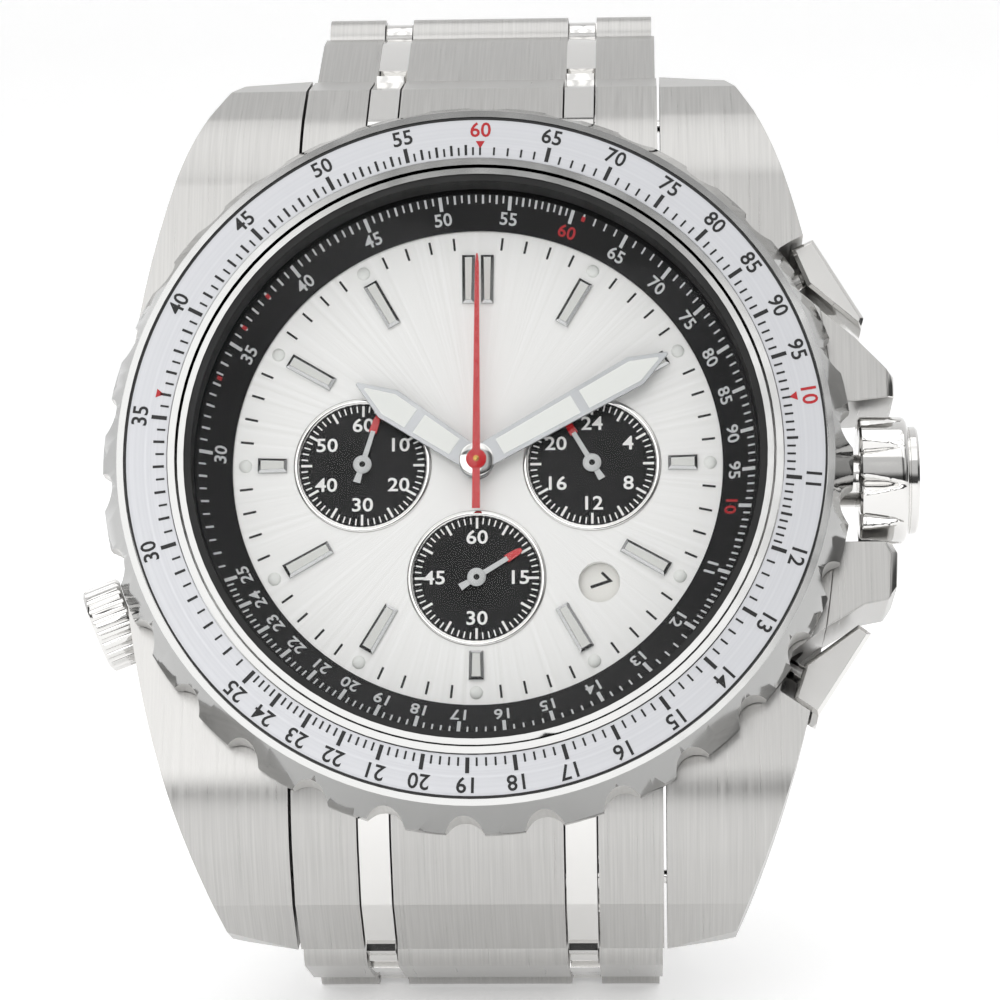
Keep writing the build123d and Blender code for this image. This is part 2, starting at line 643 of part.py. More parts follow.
def disc(plane, at, radius, low, high, mode=Mode.ADD):
    """The same for a round boss or bore."""
    for low_, high_ in ((low, high), (-high, -low)) if low else ((-high, high),):
        with BuildSketch(plane.offset(low_)) as face:
            with Locations(at):
                Circle(radius)
        extrude(face.sketch, amount=high_ - low_, mode=mode)


PIN_R, EYE_R, PIN_BORE = 0.5, 1.45, 0.55
BLOCK_END = LINK_PITCH - LINK_R - GAP
FALL = 0.55                  # the far facet's drop below the main face
STRIP_GAP = 0.08


def strips(plane, start, drop=0.12):
    """The two polished strips of a link, with the eyes that the next pin goes through."""
    low, high = CENTRE_HALF, STRIP_OUT
    top = LINK_R - drop
    slab(plane, [(start, -LINK_R + 0.2), (start, top), (6.0, top), (BLOCK_END, top - FALL),
                 (BLOCK_END, -LINK_R + 0.2)], low, high)
    eye_low, eye_high = low + STRIP_GAP, high - STRIP_GAP
    slab(plane, [(BLOCK_END - 0.5, -0.9), (BLOCK_END - 0.5, top - FALL), (LINK_PITCH - 0.3, 1.05),
                 (LINK_PITCH, 0.9), (LINK_PITCH, -0.9)], eye_low, eye_high)
    disc(plane, (LINK_PITCH, 0), EYE_R - 0.1, eye_low, eye_high)


def make_link(name, pin, heading, side, width):
    """One row: a centre block and two outer blocks on the near pin, joined by the strips."""
    plane = side_plane(pin, heading, side)
    profile = [(0, -LINK_R), (0, LINK_R), (6.0, LINK_R), (BLOCK_END, LINK_R - FALL),
               (BLOCK_END, -LINK_R)]
    with BuildPart() as link:
        for low, high in ((0, CENTRE_HALF), (STRIP_OUT, width / 2)):
            slab(plane, profile, low, high)
            disc(plane, (0, 0), LINK_R, low, high)
        strips(plane, EYE_R + 0.35)
        disc(plane, (0, 0), PIN_BORE, 0, width / 2, mode=Mode.SUBTRACT)
        disc(plane, (LINK_PITCH, 0), PIN_BORE, 0, width / 2, mode=Mode.SUBTRACT)
        disc(plane, (0, 0), PIN_R, 0, width / 2 - 0.3)
    write(link, name)


def make_end_link(name, side):
    """The piece between two lugs; its strips carry the first row's pin."""
    plane = side_plane((side * FIRST_PIN[0], FIRST_PIN[1]), 0, side)
    with BuildPart() as end_link:
        body = [(18.5, -4.6), (22.6, -4.6), (25.2, -6.5), (28.0, -8.75), (30.3, -13.15),
                (23.0, -13.15), (18.5, -12.0)]
        with BuildSketch(Plane.YZ) as face:
            with BuildLine():
                Polyline(*[(side * y, z) for y, z in body], close=True)
            make_face()
        extrude(face.sketch, amount=LINK_WIDTH / 2 + 0.1, both=True)
        eye_low, eye_high = CENTRE_HALF + STRIP_GAP, STRIP_OUT - STRIP_GAP
        slab(plane, [(-2.5, -1.2), (-2.5, 1.0), (0, 1.1), (0, -1.1)], eye_low, eye_high)
        disc(plane, (0, 0), EYE_R - 0.1, eye_low, eye_high)
        disc(plane, (0, 0), PIN_BORE, 0, 12, mode=Mode.SUBTRACT)
        with BuildSketch(Plane.XY.offset(-16)) as face:
            Circle(22.62)
        extrude(face.sketch, amount=16, mode=Mode.SUBTRACT)
        with BuildSketch(Plane.YZ) as face:
            with Locations((side * SPRING_BAR[0], SPRING_BAR[1])):
                Circle(0.95)
        extrude(face.sketch, amount=13, both=True, mode=Mode.SUBTRACT)
    write(end_link, name)


make_end_link("end_link_12", 1)
make_end_link("end_link_6", -1)

with BuildPart() as spring_bars:
    for side in (-1, 1):
        for radius, reach in ((0.9, LUG_GAP / 2 - 0.4), (0.45, LUG_GAP / 2 + 1.4)):
            with BuildSketch(Plane.YZ):
                with Locations((side * SPRING_BAR[0], SPRING_BAR[1])):
                    Circle(radius)
            extrude(amount=reach, both=True)
write(spring_bars, "spring_bars")

for side, headings, hour in ((1, HEADINGS_12, 12), (-1, HEADINGS_6, 6)):
    pins = row_pins(headings, side)
    for row, heading in enumerate(headings):
        make_link(f"link_{hour}_{row + 1}", pins[row], heading, side, LINK_WIDTH - LINK_TAPER * row)

# ---------------------------------------------------------------- folding clasp
clasp_pin = row_pins(HEADINGS_12, 1)[-1]
far_pin = row_pins(HEADINGS_6, -1)[-1]
clasp_chord = hypot(far_pin[0] - clasp_pin[0], far_pin[1] - clasp_pin[1])
clasp_heading = -degrees(atan2(clasp_pin[0] - far_pin[0], clasp_pin[1] - far_pin[1]))
CLASP = side_plane(clasp_pin, clasp_heading, 1)
CLASP_HALF, CLASP_WALL = 10.6, 1.0
COVER_END = clasp_chord - 2.6          # the cover stops short of the last row
OUTER_PIN = clasp_chord - 3.9          # cover to outer blade
INNER_PIN = 4.6                        # outer blade to inner blade
BLADE_HALF, KNUCKLE_R = 8.6, 0.85
SAG = 1.5                              # how far the cover bows out between its ends


def bowed(plane, start, end, low, high, half, sag, mode=Mode.ADD, inner_half=0.0):
    """A strip along the clasp whose faces bow outward by the same sag."""
    middle = (start + end) / 2
    spans = ((inner_half, half), (-half, -inner_half)) if inner_half else ((-half, half),)
    for near, far in spans:
        with BuildSketch(plane.offset(near)) as face:
            with BuildLine():
                outer = ThreePointArc((start, high), (middle, high + sag), (end, high))
                back = ThreePointArc((end, low), (middle, low + sag), (start, low))
                Line(outer @ 1, back @ 0)
                Line(back @ 1, outer @ 0)
            make_face()
        extrude(face.sketch, amount=far - near, mode=mode)


with BuildPart() as clasp_cover:
    bowed(CLASP, -1.1, COVER_END, 1.0, 1.9, CLASP_HALF, SAG)
    bowed(CLASP, -1.1, COVER_END, -1.3, 1.2, CLASP_HALF, SAG, inner_half=CLASP_HALF - CLASP_WALL)
    disc(CLASP, (0, 0), 1.55, CLASP_HALF - CLASP_WALL, CLASP_HALF)
    bowed(CLASP, OUTER_PIN - 2.2, COVER_END + 0.5, 0.5, 2.4, 6.2, 0.3, mode=Mode.SUBTRACT)
    bowed(CLASP, -3, 2.4, 0.2, 2.6, 8.0, 0.3, mode=Mode.SUBTRACT)
    disc(CLASP, (0, 0), PIN_R, 0, CLASP_HALF)
    disc(CLASP, (OUTER_PIN, 0), PIN_R, 0, CLASP_HALF)
    for middle in (13.0, 24.0):
        disc(CLASP, (middle, 0.2), 0.7, CLASP_HALF - 0.1, CLASP_HALF + 0.5)
write(clasp_cover, "clasp_cover")

with BuildPart() as clasp_outer_blade:
    bowed(CLASP, INNER_PIN, OUTER_PIN, -0.35, 0.35, BLADE_HALF, SAG - 0.6)
    for place in (INNER_PIN, OUTER_PIN):
        disc(CLASP, (place, 0), KNUCKLE_R, 0, BLADE_HALF)
    disc(CLASP, (OUTER_PIN, 0), PIN_BORE, 0, 12, mode=Mode.SUBTRACT)
    disc(CLASP, (INNER_PIN, 0), PIN_R - 0.1, 0, 9.6)
write(clasp_outer_blade, "clasp_outer_blade")

# The inner blade's far end is the loop's open pivot: it stops just short of the last pin.
with BuildPart() as clasp_inner_blade:
    bowed(CLASP, INNER_PIN - 0.6, OUTER_PIN + 1.2, -1.75, -1.1, BLADE_HALF, SAG - 0.8)
    slab(CLASP, [(OUTER_PIN + 1.15, -1.7), (clasp_chord - 1.5, -1.7), (clasp_chord - 0.85, -0.6),
                 (clasp_chord - 0.85, 0.5), (OUTER_PIN + 1.5, 0.5), (OUTER_PIN + 1.15, -0.6)], 0, 5.3)
    slab(CLASP, [(INNER_PIN - 0.8, -1.7), (INNER_PIN - 0.8, 0.7), (INNER_PIN + 0.9, 0.7),
                 (INNER_PIN + 0.9, -1.2)], BLADE_HALF + 0.05, 9.4)
    bowed(CLASP, INNER_PIN - 0.8, INNER_PIN + 0.9, -1.75, -1.1, 9.4, 0.05)
    disc(CLASP, (INNER_PIN, 0), PIN_R - 0.06, 0, 12, mode=Mode.SUBTRACT)
write(clasp_inner_blade, "clasp_inner_blade")

print(f"clasp chord {clasp_chord:.1f} mm, heading {clasp_heading:.1f}, pins {clasp_pin} {far_pin}")
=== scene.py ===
# %% [markdown]
# # A steel chronograph standing on its bracelet
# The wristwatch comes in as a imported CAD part: every wheel, link and hand is already in
# its true place and size. This lesson gives it the finishes and the small printed and
# bevelled details that make it look like a real watch. New pieces are drawn in the watch
# head's own axes, in millimetres, because that is how a watchmaker's drawing gives them:
# 12 o'clock is +Y, 3 o'clock is +X, and Z comes out of the dial.

import json
from math import atan, atan2, cos, degrees, hypot, log10, pi, radians, sin

import bmesh
import bpy
from mathutils import Matrix, Vector

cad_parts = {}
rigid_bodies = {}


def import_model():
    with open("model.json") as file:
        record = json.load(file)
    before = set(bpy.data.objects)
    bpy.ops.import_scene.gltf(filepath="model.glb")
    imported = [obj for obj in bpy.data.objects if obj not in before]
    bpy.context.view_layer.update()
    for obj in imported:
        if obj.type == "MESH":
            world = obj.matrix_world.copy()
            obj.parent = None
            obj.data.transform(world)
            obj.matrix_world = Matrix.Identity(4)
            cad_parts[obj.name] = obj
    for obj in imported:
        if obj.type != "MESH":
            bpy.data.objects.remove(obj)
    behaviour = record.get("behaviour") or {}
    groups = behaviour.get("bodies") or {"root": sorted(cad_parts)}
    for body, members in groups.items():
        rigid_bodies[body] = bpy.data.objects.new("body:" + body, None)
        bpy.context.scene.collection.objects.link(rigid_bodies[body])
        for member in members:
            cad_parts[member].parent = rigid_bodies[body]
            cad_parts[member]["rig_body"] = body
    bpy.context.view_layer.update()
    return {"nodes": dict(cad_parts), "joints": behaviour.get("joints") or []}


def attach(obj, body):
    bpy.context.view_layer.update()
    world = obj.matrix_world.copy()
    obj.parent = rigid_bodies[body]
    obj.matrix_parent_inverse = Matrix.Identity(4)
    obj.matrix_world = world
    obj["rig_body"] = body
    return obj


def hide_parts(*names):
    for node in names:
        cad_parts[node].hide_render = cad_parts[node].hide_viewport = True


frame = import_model()

# %% [markdown]
# ## The head's own axes
# The watch leans back 20 degrees, so its dial is not level with the world. The bezel's
# turning axis is stated in the part's record: it passes through the middle of the dial,
# 2 mm below the top of the bezel's insert. One matrix built on it turns a drawing in
# head millimetres into a place in the world, in metres.

# %% A matrix from head millimetres to the world
MM = 0.001
bezel_turn = next(j for j in frame["joints"] if j["name"] == "bezel_turn")
out_of_dial = -Vector(bezel_turn["axis"]).normalized()
to_three = Vector((1, 0, 0))
to_twelve = out_of_dial.cross(to_three)
HEAD = Matrix((to_three, to_twelve, out_of_dial)).transposed().to_4x4()
HEAD.translation = Vector(bezel_turn["pos_m"]) + 2 * MM * out_of_dial
HEAD_MM = HEAD @ Matrix.Scale(MM, 4)
print("dial leans back", round(90 - degrees(out_of_dial.angle(Vector((0, 0, 1)))), 1), "degrees")

# %% [markdown]
# ## Colours and nodes
# Colours are picked as sRGB hex values, as on a colour chart, and a shader works in
# linear light, so one function turns one into the other. A second small function adds a
# node with its settings and links; every material below is written with it.

# %% Colour and node helpers
def linear(hex_colour):
    """An sRGB hex colour as the linear RGBA that a shader takes."""
    shares = [int(hex_colour[i:i + 2], 16) / 255 for i in (1, 3, 5)]
    return (*[s / 12.92 if s <= 0.04045 else ((s + 0.055) / 1.055) ** 2.4 for s in shares], 1.0)


def add(tree, kind, inputs=(), **settings):
    """Add one node, set its properties, and fill its inputs or link them to sockets."""
    made = tree.nodes.new(kind)
    for name, value in settings.items():
        setattr(made, name, value)
    for name, value in dict(inputs).items():
        if isinstance(value, bpy.types.NodeSocket):
            tree.links.new(value, made.inputs[name])
        else:
            made.inputs[name].default_value = value
    return made


def start_material(name, **sockets):
    """A material with one Principled shader; the sockets are named as in the editor."""
    material = bpy.data.materials.new(name)
    material.use_nodes = True
    shader = material.node_tree.nodes["Principled BSDF"]
    for socket, value in sockets.items():
        shader.inputs[socket.replace("_", " ")].default_value = value
    return material, material.node_tree, shader


# %% [markdown]
# ## Brushed stainless steel
# The case, the guards and the link blocks are 316L steel drawn over an abrasive belt:
# fine parallel scratches, all along the bracelet. A noise texture that is squeezed
# across the scratches and stretched along them gives that, without an image. Real
# scratches are about 0.03 mm wide; they are drawn about 0.14 mm wide so that they show.
# The scratches change both the roughness and, slightly, the height of the surface.

# %% Brushed, polished and blasted steel
SCRATCH_DEPTH_MM, WANDER_MM = 0.02, 2.5


def brushed_steel(name, streak_mm, turn=(0, 0, 0), colour="#BDBCBA"):
    """Steel with scratches; streak_mm is their size along the three axes of the turn."""
    material, tree, shader = start_material(name, Metallic=1.0)
    place = add(tree, "ShaderNodeTexCoord").outputs["Object"]
    along = add(tree, "ShaderNodeMapping",
                {"Vector": place, "Rotation": turn, "Scale": [s * MM for s in streak_mm]},
                vector_type="TEXTURE")
    streaks = add(tree, "ShaderNodeTexNoise",
                  {"Vector": along.outputs["Vector"], "Scale": 1.0, "Detail": 3.0, "Roughness": 0.6})
    rough = add(tree, "ShaderNodeMapRange",
                {"Value": streaks.outputs["Fac"], "From Min": 0.3, "From Max": 0.7,
                 "To Min": 0.27, "To Max": 0.38})
    tint = add(tree, "ShaderNodeValToRGB", {"Fac": streaks.outputs["Fac"]})
    dark = linear(colour)
    tint.color_ramp.elements[0].position = 0.3
    tint.color_ramp.elements[0].color = (*[c * 0.88 for c in dark[:3]], 1)
    tint.color_ramp.elements[1].position = 0.7
    tint.color_ramp.elements[1].color = (*[min(1, c * 1.06) for c in dark[:3]], 1)
    bump = add(tree, "ShaderNodeBump",
               {"Height": streaks.outputs["Fac"], "Strength": 0.12,
                "Distance": SCRATCH_DEPTH_MM * MM})
    tree.links.new(tint.outputs["Color"], shader.inputs["Base Color"])
    tree.links.new(rough.outputs["Result"], shader.inputs["Roughness"])
    tree.links.new(bump.outputs["Normal"], shader.inputs["Normal"])
    return material


def grained(name, colour, metallic, rough_from, rough_to, grain_mm, height_mm, **sockets):
    """A finish whose roughness wanders, with grains of a real size on its surface."""
    material, tree, shader = start_material(
        name, Base_Color=linear(colour), Metallic=metallic, **sockets)
    place = add(tree, "ShaderNodeTexCoord").outputs["Object"]
    cloud = add(tree, "ShaderNodeTexNoise",
                {"Vector": place, "Scale": 1 / (WANDER_MM * MM), "Detail": 4.0})
    rough = add(tree, "ShaderNodeMapRange",
                {"Value": cloud.outputs["Fac"], "From Min": 0.3, "From Max": 0.7,
                 "To Min": rough_from, "To Max": rough_to})
    grain = add(tree, "ShaderNodeTexNoise",
                {"Vector": place, "Scale": 1 / (grain_mm * MM), "Detail": 2.0})
    bump = add(tree, "ShaderNodeBump",
               {"Height": grain.outputs["Fac"], "Strength": 0.5, "Distance": height_mm * MM})
    tree.links.new(rough.outputs["Result"], shader.inputs["Roughness"])
    tree.links.new(bump.outputs["Normal"], shader.inputs["Normal"])
    return material


HEAD_TURN = HEAD.to_euler()
# Belt-brushed 316L: a soft sheen drawn out across the scratches. The upper faces and the flanks are
# brushed the same way, but a flank's scratches lie one above another, and the flanks are coloured a
# little darker: painted shade on the sides.
case_brushed = brushed_steel("brushed_case_steel", (0.14, 9.0, 9.0), HEAD_TURN)
flank_steel_painted_shade = brushed_steel("shaded_flank_steel", (9.0, 9.0, 0.14), HEAD_TURN, "#B9B8B6")
# The links turn through many angles, so their scratches vary only across the bracelet.
link_brushed = brushed_steel("brushed_link_steel", (0.14, 8.0, 8.0))
# Mirror-polished 316L: sharp reflections with the faintest haze of handling.
polished = grained("polished_steel", "#DEDDDB", 1.0, 0.05, 0.11, 1.2, 0.0006)
# The bezel and the neck inside it get a greyer mirror colour, a painted shade, so they read dark beside
# the insert.
bezel_steel_painted_dark = grained("bezel_steel_painted_shade", "#A6A6A5", 1.0, 0.06, 0.13, 1.2, 0.0006)
# Bead-blasted steel: an even, grey, directionless mat surface.
blasted = grained("bead_blasted_steel", "#D2D1CF", 1.0, 0.42, 0.52, 0.09, 0.006)
print("steels:", [m.name for m in (case_brushed, link_brushed, polished, bezel_steel_painted_dark, blasted)])

# %% [markdown]
# ## Dial, lacquers and prints
# The dial is a silvered brass disc, brushed outward from its middle: its streaks depend
# only on the angle. A radial gradient gives the angle, and a noise along it gives the
# sunray. The scale ring and the small dials are black lacquer, the prints are pad-printed
# ink, the pale parts of hands and markers are luminous paint, which is slightly grainy.

# %% Sunray and circular brushing
def head_vector(tree):
    """Object coordinates turned into the head's axes, in millimetres."""
    place = add(tree, "ShaderNodeTexCoord").outputs["Object"]
    return add(tree, "ShaderNodeMapping",
               {"Vector": place, "Location": HEAD.translation, "Rotation": HEAD_TURN,
                "Scale": (MM, MM, MM)}, vector_type="TEXTURE").outputs["Vector"]


def tool_marks(tree, shader, pattern, colours, roughness):
    """Let a pattern of tool marks run between two colours and two roughnesses."""
    marks_at = pattern.outputs["Fac"]
    rough = add(tree, "ShaderNodeMapRange",
                {"Value": marks_at, "From Min": 0.3, "From Max": 0.7,
                 "To Min": roughness[0], "To Max": roughness[1]})
    shade = add(tree, "ShaderNodeMix",
                {"Factor": marks_at, "A": linear(colours[0]), "B": linear(colours[1])}, data_type="RGBA")
    tree.links.new(shade.outputs["Result"], shader.inputs["Base Color"])
    tree.links.new(rough.outputs["Result"], shader.inputs["Roughness"])


def sunray(name, colours, metallic, roughness, streaks):
    """A finish brushed outward from the dial's middle, in so many streaks a turn."""
    material, tree, shader = start_material(name, Metallic=metallic)
    angle = add(tree, "ShaderNodeTexGradient", {"Vector": head_vector(tree)}, gradient_type="RADIAL")
    ray = add(tree, "ShaderNodeTexNoise", {"W": angle.outputs["Fac"], "Scale": streaks, "Detail": 3.0},
              noise_dimensions="1D")
    tool_marks(tree, shader, ray, colours, roughness)
    return material


def rings(name, colours, metallic, roughness, ring_mm):
    """A finish turned on a lathe: fine rings about the dial's middle."""
    material, tree, shader = start_material(name, Metallic=metallic)
    flat = add(tree, "ShaderNodeVectorMath", {0: head_vector(tree), 1: (1, 1, 0)}, operation="MULTIPLY")
    radius = add(tree, "ShaderNodeVectorMath", {0: flat.outputs["Vector"]}, operation="LENGTH")
    groove = add(tree, "ShaderNodeTexNoise",
                 {"W": radius.outputs["Value"], "Scale": 1 / ring_mm, "Detail": 2.0},
                 noise_dimensions="1D")
    tool_marks(tree, shader, groove, colours, roughness)
    return material


# Silvered dial: almost white, with a soft fan of light.
dial_silver = sunray("silvered_dial", ("#FCFCFB", "#EDEDEA"), 0.15, (0.34, 0.46), 300)
# Satin lacquered aluminium insert, turned on a lathe before it was lacquered.
insert_silver = rings("satin_insert", ("#D0D1D4", "#C5C6CA"), 0.35, (0.3, 0.42), 0.16)
# Black lacquer over brass: deep, slightly glossy.
black_lacquer = grained("black_lacquer", "#060607", 0.0, 0.3, 0.4, 0.2, 0.001,
                        Specular_IOR_Level=0.22)
print("dial finishes ready")

# %% [markdown]
# ## Inks, paints and the small parts' metals
# The prints are pad-printed: a soft pad lays down a few hundredths of a millimetre of
# ink, which dries with a faint grain. Luminous paint is coarser, because it is full of
# pigment crystals. The gilt brass, nickelled plates and hardened steel belong to the
# movement. They all differ in colour, roughness and grain only, so one function writes
# them. Each line gives the colour, metal or not, the range of roughness, and the width
# and height of the grain in millimetres.

# %% Inks, luminous paint and small parts
# Pad-printed black ink: nearly mat, a shade short of pure black.
black_ink = grained("black_ink", "#0C0C0D", 0.0, 0.4, 0.5, 0.1, 0.002)
# The same ink in signal red, for 10, 60 and the pointers.
red_ink = grained("red_ink", "#B4141E", 0.0, 0.4, 0.5, 0.1, 0.002)
# Pale grey ink reads softly on black lacquer.
grey_ink = grained("pale_grey_ink", "#CBCDCE", 0.0, 0.4, 0.5, 0.1, 0.002)
# White ink, for the counters that are read at a glance.
white_ink = grained("white_ink", "#F4F4F2", 0.0, 0.4, 0.5, 0.1, 0.002)
# Luminous paint: chalky, with a slight green in its white.
lume = grained("luminous_paint", "#F1F3EF", 0.0, 0.5, 0.65, 0.08, 0.004)
# Red lacquer under a clear coat, smooth enough for a thin highlight along the hand.
red_lacquer = grained("red_lacquered_hand", "#C4141C", 0.0, 0.22, 0.3, 0.3, 0.001, Coat_Weight=0.4)
# Rhodium-plated hands, satin: grey at their edges round the white paint.
hand_silver = grained("satin_hand_steel", "#B7B9BB", 0.85, 0.28, 0.36, 0.12, 0.002)
# The small hands are painted a pale grey, so they stay legible over black.
pale_hand = grained("pale_lacquered_hand", "#C6C8C8", 0.2, 0.35, 0.42, 0.2, 0.001)
# Paint in the markers, thinner and greyer than on the hands.
marker_lume = grained("aged_luminous_paint", "#DEDFDB", 0.0, 0.5, 0.65, 0.08, 0.004)
# Diamond-cut markers: bright facets that turn dark when they face away from the light.
marker_steel = grained("faceted_marker_steel", "#C6C7C7", 1.0, 0.12, 0.2, 0.4, 0.001)
# Moulded nitrile rubber: black and mat.
rubber = grained("nitrile_rubber", "#141414", 0.0, 0.55, 0.7, 0.15, 0.006)
# The date disc is sprayed a warm, satin white.
date_white = grained("date_disc_lacquer", "#F2F1EC", 0.0, 0.4, 0.5, 0.2, 0.001)
# Gilt brass wheels: a warm yellow metal with a fine grain.
brass = grained("gilt_brass", "#C9A25A", 1.0, 0.22, 0.34, 0.15, 0.002)
# Hardened steel: a cooler, darker grey than the case.
tool_steel = grained("hardened_steel", "#8D8F93", 1.0, 0.2, 0.32, 0.15, 0.002)
# Nickel-plated movement plates, grained in circles.
plate_nickel = rings("nickelled_plate", ("#C6C4BE", "#A9A7A1"), 1.0, (0.22, 0.4), 0.5)
# Near-black paint on the pins in the holes under the small hands: a painted shadow, as the holes swallow
# the light.
shadow_black = grained("painted_hole_shadow", "#050505", 0.0, 0.6, 0.7, 0.2, 0.002)
# Sapphire with an anti-glare coating: nearly all light goes through, a little comes back.
sapphire, _, _ = start_material("coated_sapphire", Base_Color=linear("#0C0D0E"), Roughness=0.02,
                                IOR=1.77, Alpha=0.04)
print("inks and small finishes ready")

# %% [markdown]
# ## From a drawing to a piece
# A piece is drawn as a bmesh in head millimetres. When it is finished it is moved to its
# place in the world, given its materials, and set riding on the CAD body that carries it.
# A weighted-normal modifier keeps the flats flat and lets only the rounded edges shade
# smoothly, which is what makes a small bevel catch the light.

# %% Finish a piece
def finish_piece(name, mesh_in, materials, body, replaces=(), smooth=50):
    """Place a bmesh drawn in head millimetres, and make it ride on a CAD body."""
    for face in mesh_in.faces:
        face.smooth = True
    for edge in mesh_in.edges:
        edge.smooth = len(edge.link_faces) == 2 and edge.calc_face_angle(0) < radians(smooth)
    mesh_in.transform(HEAD_MM)
    mesh = bpy.data.meshes.new(name)
    mesh_in.to_mesh(mesh)
    mesh_in.free()
    for material in materials:
        mesh.materials.append(material)
    made = bpy.data.objects.new(name, mesh)
    bpy.context.scene.collection.objects.link(made)
    flats = made.modifiers.new("flat faces stay flat", "WEIGHTED_NORMAL")
    flats.keep_sharp = True
    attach(made, body)
    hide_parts(*replaces)


def round_the_dial(clockwise, radius, height, tilt=0.0):
    """The place at a clockwise angle from 12 o'clock, with its Y axis pointing outward."""
    return (Matrix.Rotation(-radians(clockwise), 4, "Z") @ Matrix.Translation((0, radius, height))
            @ Matrix.Rotation(radians(tilt), 4, "X"))


def block(mesh, place, width, length, thickness, material=0):
    """Add a box centred on a place, and return its faces."""
    size = Matrix.Diagonal((width, length, thickness, 1))
    made = bmesh.ops.create_cube(mesh, size=1, matrix=place @ size)
    faces = list({face for vert in made["verts"] for face in vert.link_faces})
    for face in faces:
        face.material_index = material
    return faces


# A section that reaches the axis stops this close to it, so the spin has no faces without area.
AXIS = 0.0001


def spun(mesh, section, steps, place=Matrix(), material=0):
    """Spin a closed (radius, height) section once round the place's Z axis."""
    known = set(mesh.verts)
    corners = [mesh.verts.new((radius, 0, height)) for radius, height in section]
    rim = [mesh.edges.new(pair) for pair in zip(corners, corners[1:] + corners[:1])]
    bmesh.ops.spin(mesh, geom=corners + rim, cent=(0, 0, 0), axis=(0, 0, 1), dvec=(0, 0, 0),
                   angle=2 * pi, steps=steps, use_merge=True, use_normal_flip=False,
                   use_duplicate=False)
    turned = [vert for vert in mesh.verts if vert not in known]
    faces = list({face for vert in turned for face in vert.link_faces})
    bmesh.ops.recalc_face_normals(mesh, faces=faces)
    for face in faces:
        face.material_index = material
    bmesh.ops.transform(mesh, matrix=place, verts=turned)


print("helpers for pieces ready")

# %% [markdown]
# ## Softened CAD parts
# A machined steel part never has a knife edge: every edge is broken by a bevel of a few
# hundredths of a millimetre, and that line of light is what the eye reads as steel. The
# CAD meshes have sharp edges, so a copy of each visible part has its triangles merged
# into faces and its sharp edges bevelled. The original is hidden and stays as it was.
# The lugs fold downward in one line in the CAD part, and a polisher rounds that fold over
# about 5 mm, so the lug tops are cut across beside it and the cuts laid on a parabola.

# %% Round the shoulders of the lugs
DECK_Z, SHOULDER_Y, SHOULDER_REACH = -4.4, 22.2, 2.6
SHOULDER_FALL = 2.1 / 3.1
SHOULDER_CUTS = 5
ON_TOP = 0.22
JOIN = 0.0005


def round_shoulders(mesh):
    """Cut the lug tops across near the fold, and lay the cuts along a smooth curve."""
    for side in (-1, 1):
        for step in range(-SHOULDER_CUTS, SHOULDER_CUTS + 1):
            at = side * (SHOULDER_Y + step * SHOULDER_REACH / SHOULDER_CUTS)
            bmesh.ops.bisect_plane(mesh, geom=[*mesh.verts, *mesh.edges, *mesh.faces], dist=JOIN,
                                   plane_co=(0, at, 0), plane_no=(0, side, 0))
    for vert in mesh.verts:
        past = abs(vert.co.y) - SHOULDER_Y
        top = DECK_Z - max(0.0, past) * SHOULDER_FALL
        if abs(past) < SHOULDER_REACH and abs(vert.co.z - top) < ON_TOP:
            share = (past + SHOULDER_REACH) / (2 * SHOULDER_REACH)
            vert.co.z = DECK_Z - SHOULDER_FALL * SHOULDER_REACH * share ** 2


# %% [markdown]
# ## One function for every steel part
# Each visible part goes through the same steps as on the bench: clean the blank, cut it
# if its pieces should read apart, round it, choose which faces are brushed and which are
# polished, and break the edges. The faces are chosen by small functions that look at
# where a face lies and which way it points, so the choice survives a change of the part.

# %% Bevel a copy of a CAD node
FLAT_WITHIN = 0.8


def slice_up(mesh, cuts):
    """Keep only the slices of a solid between pairs of X values, each closed again."""
    whole = mesh.copy()
    mesh.clear()
    for low, high in cuts:
        part = whole.copy()
        for at, facing in ((low, -1), (high, 1)):
            every = [*part.verts, *part.edges, *part.faces]
            made = bmesh.ops.bisect_plane(part, geom=every, dist=JOIN, plane_co=(at, 0, 0),
                                          plane_no=(facing, 0, 0), clear_outer=True)
            rim = [e for e in made["geom_cut"] if isinstance(e, bmesh.types.BMEdge)]
            bmesh.ops.triangle_fill(part, use_beauty=True, use_dissolve=True, edges=rim,
                                    normal=(facing, 0, 0))
        slice_mesh = bpy.data.meshes.new("slice")
        part.to_mesh(slice_mesh)
        part.free()
        mesh.from_mesh(slice_mesh)
        bpy.data.meshes.remove(slice_mesh)
    whole.free()


def softened(node, edge_mm, materials, pick=None, limit=28, shoulders=False, cuts=()):
    """Replace a CAD node by a copy with rounded edges; pick gives a face its material."""
    mesh = bmesh.new()
    mesh.from_mesh(frame["nodes"][node].data)
    mesh.transform(HEAD_MM.inverted())
    bmesh.ops.remove_doubles(mesh, verts=mesh.verts, dist=JOIN)
    bmesh.ops.dissolve_limit(mesh, angle_limit=radians(FLAT_WITHIN), verts=mesh.verts, edges=mesh.edges,
                             use_dissolve_boundaries=False)
    if cuts:
        slice_up(mesh, cuts)
    if shoulders:
        round_shoulders(mesh)
    for face in mesh.faces:
        face.normal_update()
        face.material_index = pick(face) if pick else 0
    sharp = [e for e in mesh.edges if len(e.link_faces) == 2 and e.calc_face_angle(0) > radians(limit)]
    bmesh.ops.bevel(mesh, geom=sharp, offset=edge_mm, offset_type="OFFSET", affect="EDGES",
                    segments=2, profile=0.5, material=-1, clamp_overlap=True)
    body = frame["nodes"][node]["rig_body"]
    finish_piece(f"{node}_finished", mesh, materials, body, (node,))


# %% Soften the case, guards and buttons
NECK_R, GUARD_BEVEL_X = 19.5, 26.6


